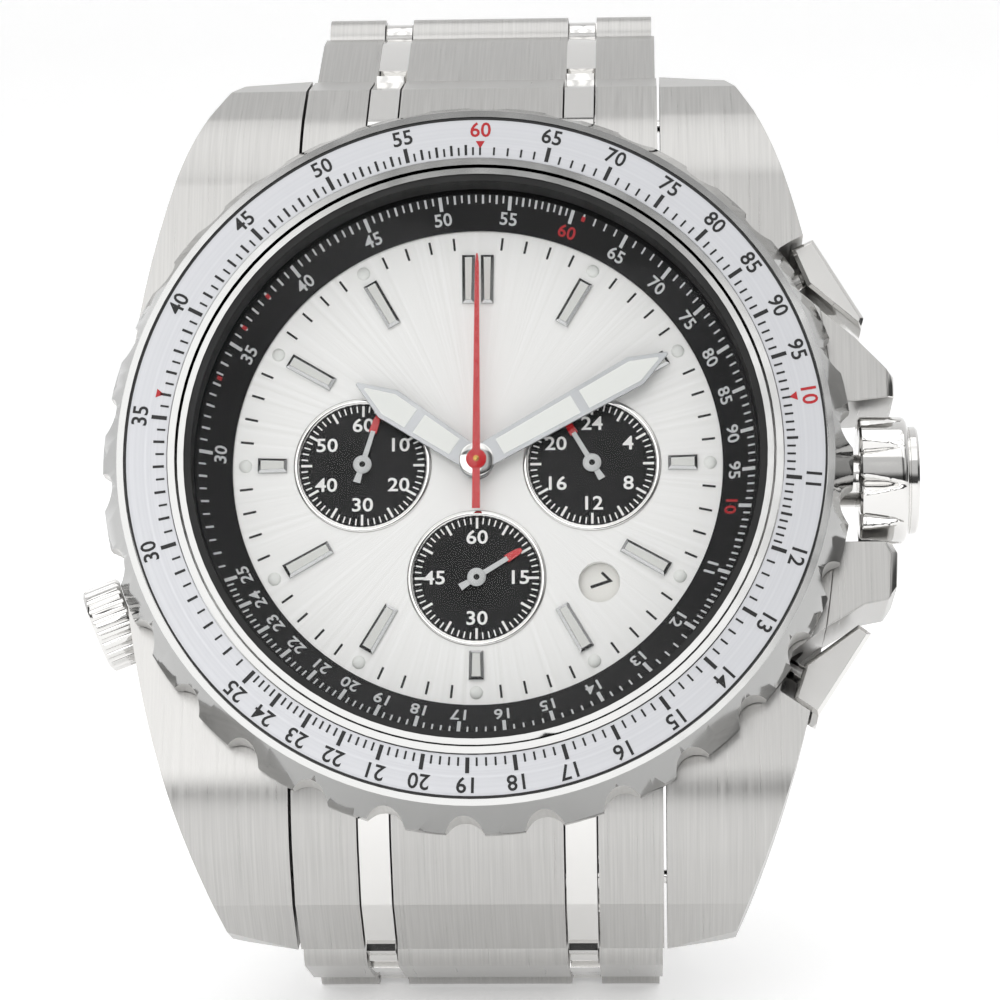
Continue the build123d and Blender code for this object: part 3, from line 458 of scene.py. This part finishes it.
def case_pick(face):
    """Brushed tops, and flanks coloured a little darker as painted shade; the polished neck round the
    crystal is painted darker too.
    """
    if max(vert.co.xy.length for vert in face.verts) < NECK_R:
        return 1
    return 2 if abs(face.normal.x) > 0.75 else 0


def guard_pick(face):
    """The guard's outer bevel is polished, its broad faces are brushed."""
    return 1 if face.calc_center_median().x > GUARD_BEVEL_X and 0.25 < face.normal.z < 0.95 else 0


def pusher_pick(face):
    """A button has a blasted top and polished sides."""
    return 0 if face.normal.z > 0.9 else 1


softened("case_middle", 0.14, [case_brushed, bezel_steel_painted_dark, flank_steel_painted_shade], case_pick,
         limit=14, shoulders=True)
softened("crown_guard", 0.10, [case_brushed, polished], guard_pick)
softened("start_pusher", 0.10, [blasted, polished], pusher_pick)
softened("reset_pusher", 0.10, [blasted, polished], pusher_pick)
softened("case_back", 0.08, [case_brushed])
print("case parts softened")

# %% [markdown]
# ## The bracelet
# Each row has a brushed centre block and two brushed outer blocks, with a narrow
# mirror-polished strip between them: the contrast that the bracelet is known by. In the
# CAD part all five are one solid, so the strips are found by how far they lie from the
# middle of the row, between 5.55 and 7.7 mm. The end links are cut apart along the same
# lines, with 0.12 mm between the slices, because there the joints are seen from close by.

# %% Links, end links and clasp
STRIP_FROM, STRIP_TO = 5.55, 7.70
SLICES = ((-11.9, -7.74), (-7.62, -5.64), (-5.52, 5.52), (5.64, 7.62), (7.74, 11.9))


def link_pick(face):
    """The strips between the blocks are polished."""
    in_strip = STRIP_FROM < abs(face.calc_center_median().x) < STRIP_TO
    return 1 if in_strip and abs(face.normal.x) < 0.5 else 0


for row in ("link_12_1", "link_12_2", "link_12_3", "link_12_4", "link_12_5",
            "link_6_1", "link_6_2", "link_6_3"):
    softened(row, 0.13, [link_brushed, polished], link_pick)
for row in ("end_link_12", "end_link_6"):
    softened(row, 0.12, [case_brushed, polished], link_pick,
             limit=14, shoulders=True, cuts=SLICES)
softened("clasp_cover", 0.12, [link_brushed])
for blade in ("clasp_outer_blade", "clasp_inner_blade"):
    softened(blade, 0.08, [polished])
print("bracelet softened")

# %% [markdown]
# ## The bezel
# The rim of the bezel is scalloped for grip: thirty polished lobes with a blasted scoop
# between each pair. The scoops lie a whole number of steps from one that is 1.5 degrees
# past 6 o'clock, so a face belongs to a scoop when it lies on a scoop's round wall.

# %% Bezel and insert
LOBE_TURN = 360 / 30
FIRST_SCOOP, SCOOP_AT, SCOOP_R, WALL = -91.5, 24.85, 1.35, 0.09


def bezel_pick(face):
    """Faces on a scoop's round wall are blasted; the rest of the bezel is polished steel painted darker,
    a painted shade.
    """
    centre, normal = face.calc_center_median(), face.normal
    turn = degrees(atan2(centre.y, centre.x)) - FIRST_SCOOP
    off = (turn + LOBE_TURN / 2) % LOBE_TURN - LOBE_TURN / 2
    x, y = centre.xy.length * sin(radians(off)), centre.xy.length * cos(radians(off)) - SCOOP_AT
    return 1 if abs(hypot(x, y) - SCOOP_R) < WALL and abs(normal.z) < 0.3 else 0


# The bezel's polished steel is painted darker than the other polished parts: painted shade.
softened("bezel", 0.09, [bezel_steel_painted_dark, blasted], bezel_pick, limit=24)
softened("bezel_insert", 0.03, [insert_silver])
softened("ring_crown", 0.05, [polished])
print("bezel softened")

# %% [markdown]
# ## The slide-rule scales
# Both rings carry one logarithmic scale from 10 to 100: a number's angle is 360 degrees
# times its logarithm, counted from 60 at 12 o'clock, so setting one ring against the
# other multiplies and divides. The marks are laid out by that formula. Each is a thin
# bar of ink, and a few hundred of them are merged into one mesh for each colour.

# %% Lay out the scale
def scale_angle(value):
    """Clockwise degrees from 12 o'clock, with 60 at the top."""
    return 360 * log10(value / 60)


def scale_marks():
    """Every mark as (value, rank): 2 numbered, 1 half-way, 0 ordinary."""
    marks = []
    for low, high, step, number_every, half_every in (
            (100, 120, 1, 10, 5), (120, 250, 2, 10, 10),
            (250, 600, 5, 50, 10), (600, 1000, 10, 50, 50)):
        for tenth in range(low, high, step):
            rank = 2 if tenth % number_every == 0 else 1 if tenth % half_every == 0 else 0
            marks.append((tenth / 10, rank))
    return marks


NUMBERS = [*range(10, 26), *range(30, 100, 5)]
marks = scale_marks()
print(len(marks), "marks and", len(NUMBERS), "numbers on each ring")


# %% [markdown]
# ## Numerals
# A number on a dial is a flat print with an outline. Blender's own font gives the outline
# as a curve; it is extruded to the thickness of the ink, made a mesh, and only then moved
# to its place, so that the finished piece still sits at the origin.

# %% Numerals as meshes
CAPITAL = 0.73


def write_numbers(mesh, words, height, thickness, stretch=1.0, weight=0.02):
    """Add each word, made from the built-in font, at its place."""
    for word, place in words:
        curve = bpy.data.curves.new("numeral", "FONT")
        curve.body = word
        curve.align_x = "CENTER"
        curve.align_y = "CENTER"
        curve.size = height / CAPITAL
        curve.extrude = thickness / 2
        curve.resolution_u = 3
        curve.offset = weight * height
        curve.space_character = 1.02
        holder = bpy.data.objects.new("numeral", curve)
        bpy.context.scene.collection.objects.link(holder)
        bpy.context.view_layer.update()
        drawn = holder.evaluated_get(bpy.context.evaluated_depsgraph_get())
        flat = bpy.data.meshes.new_from_object(drawn)
        known = len(mesh.verts)
        mesh.from_mesh(flat)
        mesh.verts.ensure_lookup_table()
        bmesh.ops.transform(mesh, matrix=place @ Matrix.Diagonal((stretch, 1, 1, 1)),
                            verts=mesh.verts[known:])
        bpy.data.objects.remove(holder)
        bpy.data.curves.remove(curve)
        bpy.data.meshes.remove(flat)


# %% [markdown]
# ## The insert's print
# The scale is printed in black on the insert, with 10, 60 and three pointers in red, and
# a thin black line closes it outside. A numbered mark is longer and wider than the ones
# between, which is how the eye finds its place on a crowded ring.

# %% Print the insert
INK = 0.02
INSERT_TOP = -0.02
INSERT_TURN = 0.8
LINE_FROM, NUMBERS_AT, POINTERS_AT = 19.98, 21.68, 20.78
INSERT_MARKS = ((0.55, 0.13), (0.72, 0.17), (1.0, 0.26))
RED_NUMBERS = ("10", "60")

dark, red = bmesh.new(), bmesh.new()
for value, rank in marks:
    length, width = INSERT_MARKS[0 if value in (10, 60) else rank]
    clockwise = scale_angle(value) + INSERT_TURN
    block(dark, round_the_dial(clockwise, LINE_FROM + length / 2, INSERT_TOP + INK / 2),
          width, length, INK)
words = [(str(n), round_the_dial(scale_angle(n) + INSERT_TURN, NUMBERS_AT, INSERT_TOP + INK / 2))
         for n in NUMBERS]
write_numbers(dark, [w for w in words if w[0] not in RED_NUMBERS], 1.02, INK)
write_numbers(red, [w for w in words if w[0] in RED_NUMBERS], 1.02, INK)
for value in (60, 10, 36):
    tip = round_the_dial(scale_angle(value) + INSERT_TURN, POINTERS_AT, INSERT_TOP + INK / 2)
    bmesh.ops.create_cone(red, cap_ends=True, segments=3, radius1=0.34, radius2=0.34, depth=INK,
                          matrix=tip @ Matrix.Rotation(radians(180), 4, "Z"))
spun(dark, [(22.42, INSERT_TOP), (22.56, INSERT_TOP),
            (22.56, INSERT_TOP + INK), (22.42, INSERT_TOP + INK)], 240)
finish_piece("insert_scale", dark, [black_ink], "bezel")
finish_piece("insert_red_marks", red, [red_ink], "bezel")
print("insert printed")

# %% [markdown]
# ## The inner ring's print
# The inner ring is black lacquer and slopes down to the dial, so its marks and numbers
# are laid on a cone: each is tilted by the slope of the ring's section. The ring stands
# turned by 20.6 degrees, as if a sum had been left set on it.

# %% Print the inner ring
RING_LOW, RING_HIGH = (15.95, -3.5), (18.05, -2.2)
RING_SLOPE = (RING_HIGH[1] - RING_LOW[1]) / (RING_HIGH[0] - RING_LOW[0])
RING_TILT = degrees(atan(RING_SLOPE))
RING_TURN = 20.6
RING_MARKS = ((0.5, 0.11), (0.58, 0.14), (0.95, 0.23))
RING_LINE, RING_NUMBERS, RING_DOTS = 18.0, 16.66, 17.72


def on_ring(value, radius):
    """The place of a number on the sloping ring."""
    height = RING_LOW[1] + (radius - RING_LOW[0]) * RING_SLOPE
    return round_the_dial(scale_angle(value) + RING_TURN, radius, height + INK / 2, RING_TILT)


pale, red = bmesh.new(), bmesh.new()
for value, rank in marks:
    length, width = RING_MARKS[rank]
    block(pale, on_ring(value, RING_LINE - length * cos(radians(RING_TILT)) / 2), width, length, INK)
words = [(str(n), on_ring(n, RING_NUMBERS)) for n in NUMBERS]
write_numbers(pale, [w for w in words if w[0] not in RED_NUMBERS], 0.88, INK)
write_numbers(red, [w for w in words if w[0] in RED_NUMBERS], 0.88, INK)
for value in (61, 36, 38, 33.3):
    block(red, on_ring(value, RING_DOTS), 0.24, 0.34, INK * 1.6)
finish_piece("ring_scale", pale, [grey_ink], "inner_ring")
finish_piece("ring_red_marks", red, [red_ink], "inner_ring")
softened("slide_rule_ring", 0.04, [black_lacquer])
print("inner ring printed")

# %% [markdown]
# ## The dial
# The silvered disc has three sunk counters in black, each with grooves turned about its
# own middle and a polished rim. The grooves are real geometry: a section with a ripple,
# spun round. The black floor lies in the CAD dial's recess.

# %% Dial, counters and rims
DIAL_Z, FLOOR_Z = -3.68, -3.78
SECONDS_AT, HOURS_AT, MINUTES_AT = (-7.47, 0.0), (7.47, 0.0), (0.0, -7.58)
GROOVE_COUNT, GROOVE_STEP = 13, 0.24

softened("dial", 0.03, [dial_silver])
floors = bmesh.new()
for spot in (SECONDS_AT, HOURS_AT, MINUTES_AT):
    ripple = [(0.32, FLOOR_Z + 0.02)]
    for groove in range(GROOVE_COUNT):
        ripple.append((0.45 + groove * GROOVE_STEP, FLOOR_Z + 0.035))
        ripple.append((0.57 + groove * GROOVE_STEP, FLOOR_Z + 0.02))
    ripple += [(4.15, FLOOR_Z + 0.03), (4.15, FLOOR_Z - 0.01), (0.32, FLOOR_Z - 0.01)]
    spun(floors, ripple, 72, Matrix.Translation((*spot, 0)))
finish_piece("counter_floors", floors, [black_lacquer], "head", smooth=80)

rims = bmesh.new()
for spot in (SECONDS_AT, HOURS_AT, MINUTES_AT):
    spun(rims, [(4.12, FLOOR_Z - 0.01), (4.12, DIAL_Z + 0.02), (4.17, DIAL_Z + 0.08),
                (4.30, DIAL_Z + 0.11), (4.44, DIAL_Z + 0.10), (4.52, DIAL_Z + 0.02),
                (4.52, DIAL_Z - 0.01), (4.33, DIAL_Z - 0.01), (4.33, FLOOR_Z - 0.01)],
         120, Matrix.Translation((*spot, 0)))
finish_piece("counter_rims", rims, [polished], "head", ("subdial_rims",), smooth=60)
print("dial and counters made")

# %% [markdown]
# ## The counters' scales
# The counters are the stopwatch's memory and the running seconds. Each has sixty ticks,
# with every fifth longer, and upright numbers, because a small dial is read at a glance.
# The minute track of the main dial leaves out the fifth minutes, where the dots stand.

# %% Print the counters and the minute track
white, black = bmesh.new(), bmesh.new()
COUNTER_INK = FLOOR_Z + 0.035
TICKS_TO, LABELS_X, LABELS_Y, TRACK_AT = 4.02, 2.72, 2.68, 15.12
for spot, labels in ((SECONDS_AT, (60, 10, 20, 30, 40, 50)), (HOURS_AT, (24, 4, 8, 12, 16, 20)),
                     (MINUTES_AT, (60, 15, 30, 45))):
    centre = Matrix.Translation((*spot, 0))
    for tick in range(60):
        length, width = (0.72, 0.16) if tick % 5 == 0 else (0.42, 0.09)
        block(white, centre @ round_the_dial(tick * 6, TICKS_TO - length / 2, COUNTER_INK + INK / 2),
              width, length, INK)
    for index, label in enumerate(labels):
        turn = radians(360 / len(labels) * index)
        place = centre @ Matrix.Translation(
            (LABELS_X * sin(turn), LABELS_Y * cos(turn), COUNTER_INK + INK / 2))
        write_numbers(white, [(str(label), place)], 0.92, INK, 1.14)
for minute in range(60):
    if minute % 5:
        block(black, round_the_dial(minute * 6, TRACK_AT, DIAL_Z + INK / 2), 0.15, 0.86, INK)
finish_piece("counter_scales", white, [white_ink], "head")
finish_piece("minute_track", black, [black_ink], "head")
print("counters and minute track printed")

# %% [markdown]
# ## Applied hour markers
# Each marker is a facetted steel baton with a channel of luminous paint along its top.
# A box has its top face inset, and the inset face is raised: the slope round it becomes
# the polished bevel, and the raised face takes the paint. A round dot of the same paint
# stands outside each marker. The markers at 3, 6 and 9 are cut short by the counters,
# and 12 o'clock has a plain double baton.

# %% Batons and dots
BATON_RISE, BATON_TAPER = 0.22, 0.12
batons = bmesh.new()


def baton(clockwise, radius, width, length, shift=0.0):
    """Add one marker at a place on the dial, narrower at its inner end."""
    place = round_the_dial(clockwise, radius, DIAL_Z + BATON_RISE / 2)
    place = place @ Matrix.Translation((shift, 0, 0))
    faces = block(batons, place, width, length, BATON_RISE)
    top = max(faces, key=lambda face: face.calc_center_median().z)
    across, inward = place.to_3x3() @ Vector((1, 0, 0)), place.to_3x3() @ Vector((0, -1, 0))
    for vert in top.verts:
        reach = vert.co - place.translation
        if reach.dot(inward) > 0:
            vert.co -= across * reach.dot(across) * BATON_TAPER
    bmesh.ops.inset_individual(batons, faces=[top], thickness=0.17, depth=0.0, use_even_offset=True)
    bmesh.ops.translate(batons, verts=list(top.verts), vec=(0, 0, 0.12))
    bmesh.ops.inset_individual(batons, faces=[top], thickness=0.025, depth=-0.02, use_even_offset=True)
    top.material_index = 1


for hour in range(1, 12):
    radius, length = (13.35, 1.9) if hour % 3 == 0 else (12.6, 3.3)
    baton(30 * hour, radius, 0.98, length)
for side in (-0.62, 0.62):
    baton(0, 12.6, 0.86, 3.3, side)
finish_piece("hour_batons", batons, [marker_steel, marker_lume], "head",
             ("hour_markers",), smooth=20)

dots = bmesh.new()
for hour in range(1, 12):
    spun(dots, [(AXIS, 0), (0.43, 0), (0.42, 0.07), (0.34, 0.15), (0.2, 0.2), (AXIS, 0.22)],
         24, round_the_dial(30 * hour, TRACK_AT, DIAL_Z))
finish_piece("hour_dots", dots, [lume], "head", smooth=60)
print("markers set")

# %% [markdown]
# ## Hands
# The hour and minute hands are pressed steel with two windows of luminous paint and a
# crossbar between them. The CAD blade gives the outline; its edges are softened, and the
# paint lies on top as thin plates that follow the blade's taper. The chronograph hand is
# lacquered red, and the three small hands are pale with red tips.

# %% Hour and minute hands
BLADE = 0.03


def blade_window(mesh, clockwise, height, corners, material=0):
    """Add a thin plate whose (along, half width) corners lie along a hand."""
    place = Matrix.Rotation(-radians(clockwise), 4, "Z")
    outline = [(-half, along) for along, half in corners]
    outline += [(half, along) for along, half in reversed(corners)]
    ring_of = [mesh.verts.new(place @ Vector((x, y, height))) for x, y in outline]
    face = mesh.faces.new(ring_of)
    face.normal_update()
    if face.normal.z > 0:
        face.normal_flip()
    made = bmesh.ops.extrude_face_region(mesh, geom=[face])
    lifted = [v for v in made["geom"] if isinstance(v, bmesh.types.BMVert)]
    bmesh.ops.translate(mesh, verts=lifted, vec=(0, 0, BLADE))
    for each in {f for v in ring_of + lifted for f in v.link_faces}:
        each.material_index = material


HOUR_ANGLE, MINUTE_ANGLE = 304.0, 60.3
HOUR_TOP, MINUTE_TOP, PAINT_SUNK = -2.79, -2.44, 0.005
softened("hour_hand", 0.03, [hand_silver])
softened("minute_hand", 0.03, [hand_silver])
paint = bmesh.new()
for corners in ([(1.75, 0.62), (4.55, 0.72)], [(5.2, 0.74), (6.95, 0.80), (8.85, 0.07)]):
    blade_window(paint, HOUR_ANGLE, HOUR_TOP - PAINT_SUNK, corners)
finish_piece("hour_hand_paint", paint, [lume], "hour_hand")
paint = bmesh.new()
for corners in ([(1.75, 0.57), (7.4, 0.68)], [(8.05, 0.69), (11.85, 0.76), (13.6, 0.07)]):
    blade_window(paint, MINUTE_ANGLE, MINUTE_TOP - PAINT_SUNK, corners)
finish_piece("minute_hand_paint", paint, [lume], "minute_hand")
collar = bmesh.new()
spun(collar, [(0.45, MINUTE_TOP - 0.02), (1.12, MINUTE_TOP - 0.02), (1.12, MINUTE_TOP + 0.07),
              (1.02, MINUTE_TOP + 0.12), (0.45, MINUTE_TOP + 0.12)], 64)
finish_piece("hand_collar", collar, [polished], "minute_hand")
print("hour and minute hands painted")

# %% [markdown]
# ## The red hand and the small hands
# The chronograph hand is a thin tapered blade on a round hub, with a brass pin through
# it. It is lacquered red so that it is told at once from the hands that give the time.
# Each small hand is one pale blade with a red tip, on a hub over a recess whose pin is painted
# near-black as a painted shadow.

# %% Chronograph hand and small hands
sweep_hand = bmesh.new()
blade_window(sweep_hand, 0, -2.22,
             [(-3.3, 0.26), (-0.5, 0.24), (0.5, 0.25), (13.3, 0.13), (13.95, 0.06)])
spun(sweep_hand, [(AXIS, -4.0), (0.18, -4.0), (0.18, -2.25), (0.66, -2.25),
                  (0.66, -2.16), (0.58, -2.11), (AXIS, -2.11)], 48)
finish_piece("chrono_hand_finished", sweep_hand, [red_lacquer], "chrono_hand",
             ("chrono_hand",))
pin = bmesh.new()
spun(pin, [(AXIS, -2.12), (0.2, -2.12), (0.2, -2.09), (0.13, -2.06), (AXIS, -2.06)], 32)
finish_piece("chrono_hand_pin", pin, [brass], "chrono_hand")

SMALL_LOW = -3.45
for body, node, spot, clockwise in (
        ("small_seconds", "small_seconds_hand", SECONDS_AT, 16.7),
        ("day_hour_hand", "day_hour_hand", HOURS_AT, -30.7),
        ("minute_counter", "minute_counter_hand", MINUTES_AT, 58.0)):
    small = bmesh.new()
    blade_window(small, clockwise, SMALL_LOW, [(-1.25, 0.24), (-0.4, 0.17), (0.5, 0.17), (2.35, 0.15)])
    blade_window(small, clockwise, SMALL_LOW - 0.003, [(2.25, 0.27), (3.1, 0.22), (3.42, 0.12)], 1)
    spun(small, [(0.2, SMALL_LOW - 0.02), (0.6, SMALL_LOW - 0.02), (0.6, SMALL_LOW + 0.07),
                 (0.52, SMALL_LOW + 0.12), (0.2, SMALL_LOW + 0.12)], 40)
    # The pin under the hub is painted near-black: a painted shadow for the hole in the dial.
    spun(small, [(AXIS, -4.2), (0.2, -4.2), (0.2, SMALL_LOW + 0.06), (AXIS, SMALL_LOW + 0.06)], 20,
         material=2)
    bmesh.ops.translate(small, verts=small.verts, vec=(*spot, 0))
    finish_piece(f"{node}_finished", small, [pale_hand, red_lacquer, shadow_black], body,
                 (node,))
print("red and small hands made")

# %% [markdown]
# ## The date
# The date disc turns under a round window at half past four. It carries the days of the
# month, each lying along the disc's turn, and only one shows at a time.

# %% Date disc
WINDOW_TURN, WINDOW_AT, DATE_Z, SHOWN_DAY = 135.0, 11.17, -4.25, 7
days = bmesh.new()
for day in range(1, 32):
    clockwise = WINDOW_TURN + (day - SHOWN_DAY) * 360 / 31
    place = round_the_dial(clockwise, WINDOW_AT, DATE_Z + INK / 2)
    place = place @ Matrix.Rotation(radians(90), 4, "Z")
    write_numbers(days, [(str(day), place)], 1.4, INK, 1.1 if day < 10 else 0.75, 0.0)
finish_piece("date_numbers", days, [black_ink], "date_disc")
print("31 dates printed")

# %% [markdown]
# ## The crown
# The crown is unscrewed with wet or gloved fingers, so its rim has ten deep grooves that
# run out to points before the smooth cap. A cylinder is spun from its section and the
# vertices on the groove lines are drawn inward, deeper towards the case.

# %% Crown
STEM = Matrix.Translation((0, -0.3, -7.6)) @ Matrix.Rotation(radians(90), 4, "Y")
CROWN_R, CROWN_FROM, RIM_FROM = 4.2, 25.0, 3.65
GROOVE_TURN = 360 / 10
GROOVE_END, GROOVE_LENGTH, GROOVE_DEPTH = 27.55, 2.2, 0.62
POINT_HALF, FLARE = 2.0, 6.5
crown = bmesh.new()
section = [(0.58, 24.8), (3.7, 24.8), (4.05, 24.85), (CROWN_R, CROWN_FROM)]
section += [(CROWN_R, CROWN_FROM + 0.22 * step) for step in range(1, 13)]
section += [(4.1, 27.86), (3.9, 27.98), (3.62, 28.0), (3.5, 28.06), (3.5, 28.12), (3.56, 28.18),
            (3.56, 28.55), (3.42, 28.7), (2.9, 28.75), (1.5, 28.8), (AXIS, 28.82)]
section += [(AXIS, 27.0), (0.58, 27.0)]
spun(crown, section, 240)
for vert in crown.verts:
    radius = hypot(vert.co.x, vert.co.y)
    if radius > RIM_FROM:
        off = abs(degrees(atan2(vert.co.y, vert.co.x)) % GROOVE_TURN - GROOVE_TURN / 2)
        reach = max(0.0, min(1.0, (GROOVE_END - vert.co.z) / GROOVE_LENGTH))
        half = POINT_HALF + FLARE * reach
        if reach and off < half:
            depth = GROOVE_DEPTH * reach ** 0.6 * (1 - off / half)
            vert.co.x *= (radius - depth) / radius
            vert.co.y *= (radius - depth) / radius
bmesh.ops.transform(crown, matrix=STEM, verts=crown.verts)
finish_piece("crown_finished", crown, [polished], "crown", ("crown",), smooth=35)
print("crown made")

# %% [markdown]
# ## Parts that stay as they are
# The crystal, the gaskets and the movement keep their CAD shapes: they are turned or
# stamped parts with no visible edges to soften. Each takes the finish of its real
# counterpart.

# %% Finish the CAD nodes that still show
PLAIN = {
    sapphire: ["crystal"],
    rubber: ["back_gasket", "crystal_gasket"],
    date_white: ["date_disc"],
    plate_nickel: ["main_plate", "train_bridge", "balance_cock", "movement_ring"],
    brass: ["hour_wheel", "minute_wheel", "centre_wheel", "third_wheel", "fourth_wheel", "barrel",
            "balance_wheel"],
    polished: ["case_tubes", "spring_bars"],
}
named = {node: material for material, nodes in PLAIN.items() for node in nodes}
for name, node in frame["nodes"].items():
    if not node.hide_render:
        material = named.get(name, tool_steel)
        node.data.materials.clear()
        node.data.materials.append(material)
print("CAD nodes still shown:", sum(not n.hide_render for n in frame["nodes"].values()))

# %% [markdown]
# ## The studio
# Polished steel shows nothing of its own, only what stands round it. A watch is lit in a
# white tent: large soft sources above and at the sides, with a few dark gaps whose
# reflections draw the edges of the metal. The floor and backdrop are one pale sweep.

# %% Sweep, lights and world
WATCH_MIDDLE = Vector((0, 0, 0.03))


def area(name, at, size, watts):
    """Add a white soft box that faces the middle of the watch."""
    lamp = bpy.data.lights.new(name, "AREA")
    lamp.shape = "RECTANGLE"
    lamp.size, lamp.size_y = size
    lamp.energy = watts
    holder = bpy.data.objects.new(name, lamp)
    holder.location = at
    holder.rotation_euler = (WATCH_MIDDLE - Vector(at)).to_track_quat("-Z", "Y").to_euler()
    bpy.context.scene.collection.objects.link(holder)


SWEEP_WIDTH = 5.0
sweep = bmesh.new()
profile = [sweep.verts.new((-SWEEP_WIDTH / 2, y, z)) for y, z in
           ((-3.0, 0.0), (0.55, 0.0), (0.72, 0.02), (0.86, 0.09),
            (0.95, 0.2), (0.99, 0.36), (1.0, 2.4))]
line = [sweep.edges.new(pair) for pair in zip(profile, profile[1:])]
wide = bmesh.ops.extrude_edge_only(sweep, edges=line)
far_side = [v for v in wide["geom"] if isinstance(v, bmesh.types.BMVert)]
bmesh.ops.translate(sweep, verts=far_side, vec=(SWEEP_WIDTH, 0, 0))
bmesh.ops.recalc_face_normals(sweep, faces=sweep.faces)
sweep_mesh = bpy.data.meshes.new("studio_sweep")
for face in sweep.faces:
    face.smooth = True
sweep.to_mesh(sweep_mesh)
sweep.free()
paper = grained("studio_paper", "#FCFCFC", 0.0, 0.8, 0.9, 0.5, 0.01,
                Emission_Color=linear("#FFFFFF"), Emission_Strength=0.32)
sweep_mesh.materials.append(paper)
studio_sweep = bpy.data.objects.new("studio_sweep", sweep_mesh)
bpy.context.scene.collection.objects.link(studio_sweep)

area("top_box", (0.0, -0.12, 0.62), (0.9, 0.7), 1.9)
area("front_box", (-0.25, -0.75, 0.38), (0.6, 0.5), 1.6)
area("left_box", (-0.6, -0.15, 0.22), (0.35, 0.5), 0.12)
area("right_box", (0.6, -0.2, 0.25), (0.3, 0.5), 0.06)

# %% [markdown]
# ## The tent's reflections
# The world is what the mirror faces see. It is pale above and below with a dark band
# just over the horizon, and a sine of the azimuth darkens seven gaps between its panels:
# those gaps are the grey strokes on the crown, the strips and the bezel's lobes.

# %% World and view
GAPS, TENT_STRENGTH = 7.0, 0.75
world = bpy.data.worlds.new("white_tent")
world.use_nodes = True
tree = world.node_tree
backing = tree.nodes["Background"]
ramp = add(tree, "ShaderNodeValToRGB")
sky = add(tree, "ShaderNodeTexCoord").outputs["Generated"]
split = add(tree, "ShaderNodeSeparateXYZ", {"Vector": sky})
height = add(tree, "ShaderNodeMapRange",
             {"Value": split.outputs["Z"], "From Min": -1.0, "From Max": 1.0})
tree.links.new(height.outputs["Result"], ramp.inputs["Fac"])
turn = add(tree, "ShaderNodeMath", {0: split.outputs["Y"], 1: split.outputs["X"]}, operation="ARCTAN2")
panels = add(tree, "ShaderNodeMath", {0: turn.outputs["Value"], 1: GAPS}, operation="MULTIPLY")
wave = add(tree, "ShaderNodeMath", {0: panels.outputs["Value"]}, operation="SINE")
gaps = add(tree, "ShaderNodeMapRange",
           {"Value": wave.outputs["Value"], "From Min": -0.9, "From Max": -0.1,
            "To Min": 0.22, "To Max": 1.0})
tent = add(tree, "ShaderNodeVectorMath", {0: ramp.outputs["Color"], "Scale": gaps.outputs["Result"]},
           operation="SCALE")
tree.links.new(tent.outputs["Vector"], backing.inputs["Color"])
ramp.color_ramp.elements[0].color = (0.75, 0.75, 0.75, 1)
ramp.color_ramp.elements[1].color = (1.0, 1.0, 1.0, 1)
for position, grey in ((0.45, 0.7), (0.51, 0.07), (0.61, 0.10), (0.68, 0.85)):
    stop = ramp.color_ramp.elements.new(position)
    stop.color = (grey, grey, grey, 1)
backing.inputs["Strength"].default_value = TENT_STRENGTH
bpy.context.scene.world = world
bpy.context.scene.view_settings.view_transform = "Standard"
print("studio ready")

# %% [markdown]
# ## The camera
# A long lens looks at the dial from a little above the horizon. Its place is worked out
# in the head's own axes, 2.5 degrees to the right of the dial's normal and 14.4 below it,
# and then turned into the world with the same matrix as the pieces.

# %% Camera
AZIMUTH, ELEVATION, ROLL = radians(2.478), radians(-14.448), radians(0.141)
CAMERA_MM = Vector((11.03, -59.26, 216.8))
back_axis = Vector((sin(AZIMUTH) * cos(ELEVATION), sin(ELEVATION), cos(AZIMUTH) * cos(ELEVATION)))
level = Vector((0, 1, 0)).cross(back_axis).normalized()
upright = back_axis.cross(level)
right = level * cos(ROLL) + upright * sin(ROLL)
above = -level * sin(ROLL) + upright * cos(ROLL)
in_head = Matrix((right, above, back_axis)).transposed().to_4x4()
lens = bpy.data.cameras.new("camera")
lens.lens, lens.sensor_width = 126.51, 36
lens.clip_start, lens.clip_end = 0.01, 20
camera = bpy.data.objects.new("camera", lens)
camera.matrix_world = HEAD @ Matrix.Translation(CAMERA_MM * MM) @ in_head
bpy.context.scene.collection.objects.link(camera)
bpy.context.scene.camera = camera
print("camera at", [round(v, 4) for v in camera.matrix_world.translation])
